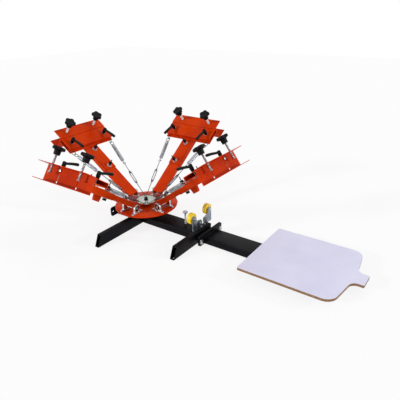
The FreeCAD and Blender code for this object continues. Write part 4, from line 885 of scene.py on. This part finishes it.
# One arm's pieces, drawn once on the arm's own axes and then placed four times
def armTube():
    half, top, low, wall, fold = arm["width"] / 2, arm["top"], arm["bottom"], arm["wall"], arm["fold"]
    start, depth, lobe, bulge, shaft, end = (arm[key] for key in (
        "start", "lobeDepth", "lobe", "lobeCorner", "shaftRadius", "shaftHalf"))
    tube = slab(tubeSection(half, low, top, wall, fold), start, arm["end"])
    opening = rectangle(-half - 2, half + 2, low - 2, low + fold)
    tube = cutBy(tube, [cutter(opening, start - 2, arm["floorStart"])])
    tube.transform(alongX)
    high = top - arm["cheekLap"]
    cheek = rounded([(start, high, 0), (start, low, 3), (-lobe, -depth, bulge), (lobe, -depth, bulge),
                     (arm["cheekLow"], low, arm["cheekCorner"]), (arm["cheekHigh"], high, 0)])
    weld = lathe([(shaft - 0.5, 0), (shaft + 2.2, 0), (shaft + 0.6, 1.6), (shaft - 0.5, 1.6)], 28,
                 closed=True)
    parts = [(tube, orangeCoat)]
    for side in (-1, 1):
        middle, thick = side * (half - wall / 2), wall / 2 + 0.02
        plate = slab([cheek, circle(shaft, steps=28)], middle - thick, middle + thick, turn=alongY)
        parts += [(plate, orangeCoat),
                  (weld, orangeCoat, moved(0, side * (half - wall), 0, turned(90 * side, "X")))]
    bar = lathe(bothEnds([(0, -end), (shaft - 1, -end), (shaft, 1 - end)]), 32)
    return joined(parts + [(bar, turnedSteel, alongY)])


carriage = {
    "half": 40, "top": 32, "bottom": -6, "wall": 3.7, "fold": 5, "start": 200, "end": 486,
    "plateStart": 385, "plateTop": 35, "plateHalf": 170, "plateCorner": 3,
    "slotBack": 4.8, "slotFront": 3.5, "slotWidth": 3.8, "slotCorner": 1.7,
    "leverPlace": 438, "leverSpread": 250, "leverHole": 4.1,
    "tongueStart": 250, "tongueLength": 53, "tongueDepth": 31, "tongueTaper": 6, "tongue": 12,
    "bolts": (220, 362), "washer": 14, "washerHeight": 2, "nut": 11, "lockNut": 12, "nutHeight": 14,
    "stud": 3, "studHeight": 50,
}
sleeveWeld = {"size": 1.9, "swell": 0.3, "beat": 1.9, "sides": 6, "step": 3, "out": 0.6, "down": 0.8}


def carriageBody():
    half, top, low, wall, fold, start, end, wide = (carriage[key] for key in (
        "half", "top", "bottom", "wall", "fold", "start", "end", "plateHalf"))
    sleeve = slab(tubeSection(half, low, top, wall, fold), start, end, 0.6, turn=alongX)
    outlines = [rectangle(carriage["plateStart"], end, -wide, wide, carriage["plateCorner"])]
    slot, hook = carriage["slotWidth"] / 2, line["hookPlace"]
    for side in (-1, 1):
        across = side * line["hookSpread"] / 2
        outlines += [rectangle(hook - carriage["slotBack"], hook + carriage["slotFront"], across - slot,
                               across + slot, carriage["slotCorner"]),
                     circle(carriage["leverHole"], carriage["leverPlace"],
                            side * carriage["leverSpread"] / 2, 24)]
    plate = slab(outlines, top, carriage["plateTop"])
    near, far = carriage["tongueStart"], carriage["tongueStart"] + carriage["tongueLength"]
    taper, deep, thick = carriage["tongueTaper"], low - carriage["tongueDepth"], carriage["tongue"] / 2
    tongue = slab([rounded([(near, low + 1, 0), (near + taper, deep, 4), (far - taper, deep, 4),
                            (far, low + 1, 0)])], -thick, thick, 1.5, 3, alongY)
    parts = [(sleeve, orangeCoat), (plate, orangeCoat), (tongue, orangeCoat)]
    for side in (-1, 1):  # weld along the sleeve's sides under the cross plate
        points = [(x, side * (half + sleeveWeld["out"]), top - sleeveWeld["down"])
                  for x in range(carriage["plateStart"] + 2, end, sleeveWeld["step"])]
        parts.append((weldBead(points, sleeveWeld), orangeCoat))
    nut, lockNut, high, stud, ring, flat = (carriage[key] for key in (
        "nut", "lockNut", "nutHeight", "stud", "washer", "washerHeight"))
    for place in carriage["bolts"]:
        at = moved(place)
        parts += [(washer(ring, stud, top, top + flat), zincBolt, at),
                  (hexHead(lockNut, top + flat, top + high, 1.2), zincBolt, at),
                  (hexHead(nut, top + high + 0.5, top + 2 * high, 1.2), nylon, at),
                  (thread(stud, carriage["studHeight"]), darkSteel, moved(place, 0, top)),
                  (washer(ring, stud, low - flat, low), zincBolt, at),
                  (hexHead(nut, low - high, low - flat, 1.2), nylon, at)]
    return joined(parts)


channel = {
    "start": 400, "end": 486, "low": 35, "top": 58, "wall": 3, "fold": 4.5, "half": 170, "travel": 8,
    "screw": 4.5, "slotCorner": 4.4, "boltSpread": 140, "boltRise": 44,
    "bolt": 1.95, "boltLow": 477, "head": 8, "headLow": 489.6, "headHeight": 5, "nut": 6.5,
    "nutLow": 479, "nutHeight": 4,
}


def registrationChannel():
    start, end, low, top, wall, fold, wide, boltLow, headLow, nutLow = (channel[key] for key in (
        "start", "end", "low", "top", "wall", "fold", "screw", "boltLow", "headLow", "nutLow"))
    place = carriage["leverPlace"]
    screw = thread(channel["bolt"], headLow - boltLow, pitch=1, depth=0.5, steps=14)
    section = rounded([(start, low, 0), (start, top, fold), (end, top, fold), (end, low, 0),
                       (end - wall, low, 0), (end - wall, top - wall, fold - wall),
                       (start + wall, top - wall, fold - wall), (start + wall, low, 0)])
    bar = slab([section], -channel["half"], channel["half"], turn=alongY)
    cutters, bolts = [], []
    for side in (-1, 1):
        middle, long = side * carriage["leverSpread"] / 2, channel["travel"] + wide
        slot = rectangle(place - wide, place + wide, middle - long, middle + long, channel["slotCorner"])
        cutters.append(cutter(slot, top - wall - 2, top + 2))
        at = moved(0, side * channel["boltSpread"] / 2, channel["boltRise"], alongX)
        bolts += [(screw, zincBolt, moved(boltLow) @ at),
                  (hexHead(channel["head"], headLow, headLow + channel["headHeight"], 0.9), zincBolt,
                   at),
                  (hexHead(channel["nut"], nutLow, nutLow + channel["nutHeight"]), zincBolt, at)]
    return joined([(cutBy(bar, cutters), orangeCoat)] + bolts)


holder = {
    "back": 486.3, "wall": 3, "reach": 66, "bottom": -27, "top": 61, "half": 170.5, "fold": 4.5,
    "keyholeDrop": 15, "keyhole": 5.5, "slot": 2.2, "sideSpread": 306, "sideHole": 3, "sideRise": 15,
    "knobPlace": 519, "knobSpread": 206, "knobHole": 6.1, "nut": 11, "nutHeight": 5,
}


def screenHolder():
    back, wall, low, top, fold, slot, hole = (holder[key] for key in (
        "back", "wall", "bottom", "top", "fold", "slot", "keyhole"))
    lip = back + holder["reach"]
    section = rounded([(back, low, fold), (lip, low, 0), (lip, low + wall, 0),
                       (back + wall, low + wall, fold - wall), (back + wall, top - wall, fold - wall),
                       (lip, top - wall, 0), (lip, top, 0), (back, top, fold)])
    bar = slab([section], -holder["half"], holder["half"], 0.6, turn=alongY)
    cutters, nuts = [], []
    highest, drop, neck = channel["boltRise"] + slot, -holder["keyholeDrop"], math.asin(slot / hole)
    for side in (-1, 1):
        middle = side * channel["boltSpread"] / 2
        rim = [(middle - slot, highest - 1.5), (middle - slot + 1.2, highest),
               (middle + slot - 1.2, highest), (middle + slot, highest - 1.5)]
        sweep = math.tau - 2 * neck
        rim += [(middle + hole * math.sin(turn), drop + hole * math.cos(turn))
                for turn in (neck + sweep * i / 28 for i in range(29))]
        sideHole = circle(holder["sideHole"], side * holder["sideSpread"] / 2, holder["sideRise"], 20)
        cutters += [cutter(outline, back - 2, back + wall + 2, alongX) for outline in (rim, sideHole)]
        place, across = holder["knobPlace"], side * holder["knobSpread"] / 2
        cutters.append(cutter(circle(holder["knobHole"], place, across, 24), top - wall - 2, top + 2))
        nut = slab([circle(holder["nut"], steps=6), circle(holder["knobHole"])],
                   top - wall - holder["nutHeight"], top - wall, 0.8)
        nuts.append((nut, zincBolt, moved(place, across)))  # weld nut that the knob's screw runs in
    return joined([(cutBy(bar, cutters), orangeCoat)] + nuts)


knob = {
    "radius": 33, "waist": 25.5, "lobes": 5, "low": 108, "top": 150, "hubLow": 15.5, "hubHigh": 18.5,
    "hubHeight": 23, "plug": 11.4, "screw": 6, "foot": 10, "footLow": 19, "footHeight": 6,
    "screwLow": 23,
}


def starKnob():  # moulded star on a tapered hub, its screw and the swivel foot that presses on the frame
    low, high, hubLow, hubHigh = (knob[key] for key in ("low", "top", "hubLow", "hubHigh"))
    flare, face = low + knob["hubHeight"], high - 0.8
    # how much of the star shows, the size and the height; where no star shows, the size is a radius
    profile = [(0, hubLow - 1, low), (0, hubLow, low + 1), (0, hubHigh - 1, flare - 1.5),
               (0, hubHigh, flare), (0.55, 0.94, flare + 1.6), (0.85, 0.965, flare + 3),
               (1, 0.985, flare + 4.6), (1, 1, flare + 6.5), (1, 1, high - 6), (1, 0.985, high - 3.6),
               (1, 0.95, high - 1.7), (1, 0.89, high - 0.5), (0.8, 0.82, high), (0, 15, high),
               (0, 13.5, face), (0, 11.5, face)]
    rows = []
    for share, size, height in profile:
        row = []
        for turn in bend(90):
            swell = (0.5 + 0.5 * math.cos(knob["lobes"] * turn)) ** 0.7
            star = knob["waist"] + (knob["radius"] - knob["waist"]) * swell
            reach = size if share == 0 else size * (star * share + hubHigh * (1 - share))
            row.append((reach * math.cos(turn), reach * math.sin(turn), height))
        rows.append(row)
    wide = knob["plug"]
    plug = lathe([(0, face - 1), (wide, face - 1), (wide, face + 0.2), (wide - 0.6, high - 0.1),
                  (0, high)], 32)
    screw, foot, sole, screwLow = (knob[key] for key in ("screw", "foot", "footLow", "screwLow"))
    shoe = lathe([(0, sole), (foot - 1.2, sole), (foot, sole + 1.2), (foot, sole + 3),
                  (foot - 1.5, sole + 4.6), (screw + 1.4, sole + knob["footHeight"]),
                  (screw + 0.8, sole + 9), (0, sole + 9)], 28)
    return joined([(surface(rows), nylon), (plug, nylon), (shoe, zincBolt),
                   (thread(screw, low + 1 - screwLow, steps=18), zincBolt, moved(z=screwLow))])


lever = {
    "seat": 58.3, "height": 40, "hub": 10, "length": 92, "slope": 15, "bow": 2.4, "rise": 28,
    "thick": (6.2, 2.4), "wide": (7.4, 1.8),  # at the hub, and how much is added at the tip
    "roundFrom": 0.9, "screw": 4, "screwLow": 26, "washer": 11,
}


def clampLever():  # moulded handle with a stepped hub, and its screw
    seat, height, wide, length, bow = (lever[key] for key in ("seat", "height", "hub", "length", "bow"))
    top = seat + height
    column = lathe([(0, seat), (wide - 1.2, seat), (wide - 0.4, seat + 0.8), (wide - 0.4, seat + 12),
                    (wide + 0.8, seat + 14), (wide + 0.8, top - 4), (wide - 0.6, top - 1.5),
                    (wide - 3.4, top), (0, top)], 36)
    slope = math.radians(lever["slope"])
    rows = []
    steps = 24
    for i in range(steps + 1):
        share = i / steps
        along = share * length
        rise = along * math.sin(slope) + bow * math.sin(math.pi * share)
        thick, across = (lever[key][0] + lever[key][1] * share for key in ("thick", "wide"))
        if share > lever["roundFrom"]:
            past = (share - lever["roundFrom"]) / (1 - lever["roundFrom"])
            close = math.sqrt(max(0, 1 - past ** 2))
            thick, across = thick * close, across * close
        lean = slope + bow * math.pi / length * math.cos(math.pi * share)
        rows.append([(-along * math.cos(slope) + thick * math.sin(turn) * math.sin(lean),
                      across * math.cos(turn),
                      seat + lever["rise"] + rise + thick * math.sin(turn) * math.cos(lean))
                     for turn in bend(16)])
    button = lathe([(0, top - 0.6), (5.2, top - 0.6), (5, top + 0.4), (2.2, top + 0.4), (2.2, top - 0.3),
                    (0, top - 0.3)], 28)
    screw, screwLow = lever["screw"], lever["screwLow"]
    return joined([(column, nylon), (surface(rows), nylon), (button, nylon),
                   (thread(screw, seat - screwLow, pitch=1.25, depth=0.7, steps=16), zincBolt,
                    moved(z=screwLow)),
                   (washer(lever["washer"], screw, seat - 0.2, seat + 0.2), zincBolt)])


def turnbuckle(length):
    start, end, ringPlace = (line[key] * length for key in ("buckleStart", "buckleEnd", "ringPlace"))
    wide, high, boss = line["buckleWidth"] / 2, line["buckleHeight"] / 2, line["buckleBoss"]
    inner = wide - line["buckleBar"]
    body = slab([rectangle(start, end, -wide, wide, 5),
                 rectangle(start + boss, end - boss, -inner, inner, 3.4)], -high, high, 1.4, 3)
    small, eye, bar = line["smallRing"], line["eyeRing"], line["ringWire"]
    # eye end: rod bent round into the hook that holds the hub plate
    path = [(eye - eye * math.cos(turn), 0, eye * math.sin(turn))
            for turn in (math.radians(180 - 300 * i / 26) for i in range(27))][::-1]
    parts = [(body, bentWire), (wire(path + [(2 * eye + 4, 0, 0), (start, 0, 0)], bar), darkSteel)]
    flat = line["nutHeight"]
    for low, high, nut in ((start - line["hookThread"], start + boss + 6, start - flat),
                           (end - boss - 6, end + line["ringThread"], end)):
        screw = thread(line["rod"], high - low, pitch=1.25, depth=0.45, steps=12)
        parts += [(screw, bentWire, moved(low, turn=alongX)),
                  (hexHead(line["buckleNut"], nut, nut + flat, 0.7), darkSteel, alongX)]
    # spring end: rod bent round into the small ring
    loop = [(ringPlace - small * math.cos(turn), small * math.sin(turn), 0)
            for turn in (math.radians(320 * i / 20) for i in range(21))]
    parts.append((wire([(end, 0, 0), (ringPlace - small - 3, 0, 0)] + loop, bar), darkSteel))
    return joined(parts)


def coilSpring(length):  # closely wound wire, its ends drawn out into loops that hook the rings
    start, end = line["coilStart"] * length, line["coilEnd"] * length
    turns, steps = round((end - start) / line["coilPitch"]), 14
    radius, ring, tail = line["coilRadius"], line["endLoop"], line["coilTail"]
    middle = line["ringPlace"] * length + line["smallRing"] - 0.5
    points = [(middle + ring * math.cos(turn), 0, ring * math.sin(turn)) for turn in bend(15, -150, 330)]
    for i in range(turns * steps + 1):
        share = i / (turns * steps)
        turn = math.tau * i / steps
        reach = tail + (radius - tail) * min(1, share * turns, (1 - share) * turns)
        points.append((start + (end - start) * share, reach * math.cos(turn), reach * math.sin(turn)))
    return wire(points + [(end + line["drawn"], line["coilWire"], 0)], line["coilWire"], 6)


def springHook(length):  # ring through the cross plate, and the spring's own end ring that hangs in it
    end, ring, bar = line["coilEnd"] * length + line["drawn"], line["hookRing"], line["ringWire"]
    link = (length - 2 * ring + 2 * bar - end) / 2  # the two rings just pass through each other
    hookLoop = [(length - ring + ring * math.cos(turn), 0, ring * math.sin(turn)) for turn in bend(32)]
    linkLoop = [(end + link + link * math.cos(turn), link * math.sin(turn), 0) for turn in bend(32)]
    return joined([(wire(loop, bar, loop=True), darkSteel) for loop in (hookLoop, linkLoop)])


def buildArms():
    start, end = springEnds(0, 1)
    length = (end - start).length
    print("spring line:", round(length, 1), "mm")
    onTheArm = [  # piece, mesh, body, node
        ("arm%d", armTube(), "arm_body_%d", "arm_%d"),
        ("carriage%d", carriageBody(), "arm_body_%d", "carriage_%d"),
        ("registrationChannel%d", registrationChannel(), "registration_body_%d",
         "registration_channel_%d"),
        ("screenHolder%d", screenHolder(), "holder_body_%d", "screen_holder_%d"),
    ]
    knobMesh, leverMesh = starKnob(), clampLever()
    onTheLine = [
        ("turnbuckles%d", turnbuckle(length), "spring_line_%d", "turnbuckles_%d"),
        ("springHooks%d", springHook(length), "spring_hook_%d", "spring_hooks_%d"),
    ]
    coilMesh = joined([(coilSpring(length), springWire)])
    for station in range(stations):
        place = onArm(station)
        for name, mesh, body, node in onTheArm:
            addPiece(name % station, mesh, body % station, [node % station], place)
        for side, hand in hands:
            knobTurn = turned(17 * side + 31 * station)  # no two knobs stand at the same angle
            addPiece("%sKnob%d" % (hand, station), knobMesh, "knob_body_%s_%d" % (hand, station),
                     ["knob_%s_%d" % (hand, station)],
                     place @ moved(holder["knobPlace"], side * holder["knobSpread"] / 2) @ knobTurn)
            addPiece("%sLever%d" % (hand, station), leverMesh, "lever_body_%s_%d" % (hand, station),
                     ["lever_%s_%d" % (hand, station)],
                     place @ moved(carriage["leverPlace"], side * carriage["leverSpread"] / 2))
        for name, mesh, body, node in onTheLine:
            addPiece(name % station, repeated(mesh, [onSpring(station, side) for side, hand in hands]),
                     body % station, [node % station])
        for side, hand in hands:
            coil = addPiece("%sSpring%d" % (hand, station), coilMesh, None, (), onSpring(station, side))
            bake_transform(coil)
            if hand == "right":
                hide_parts("springs_%d" % station)
        print("arm", station, "dressed")


buildArms()
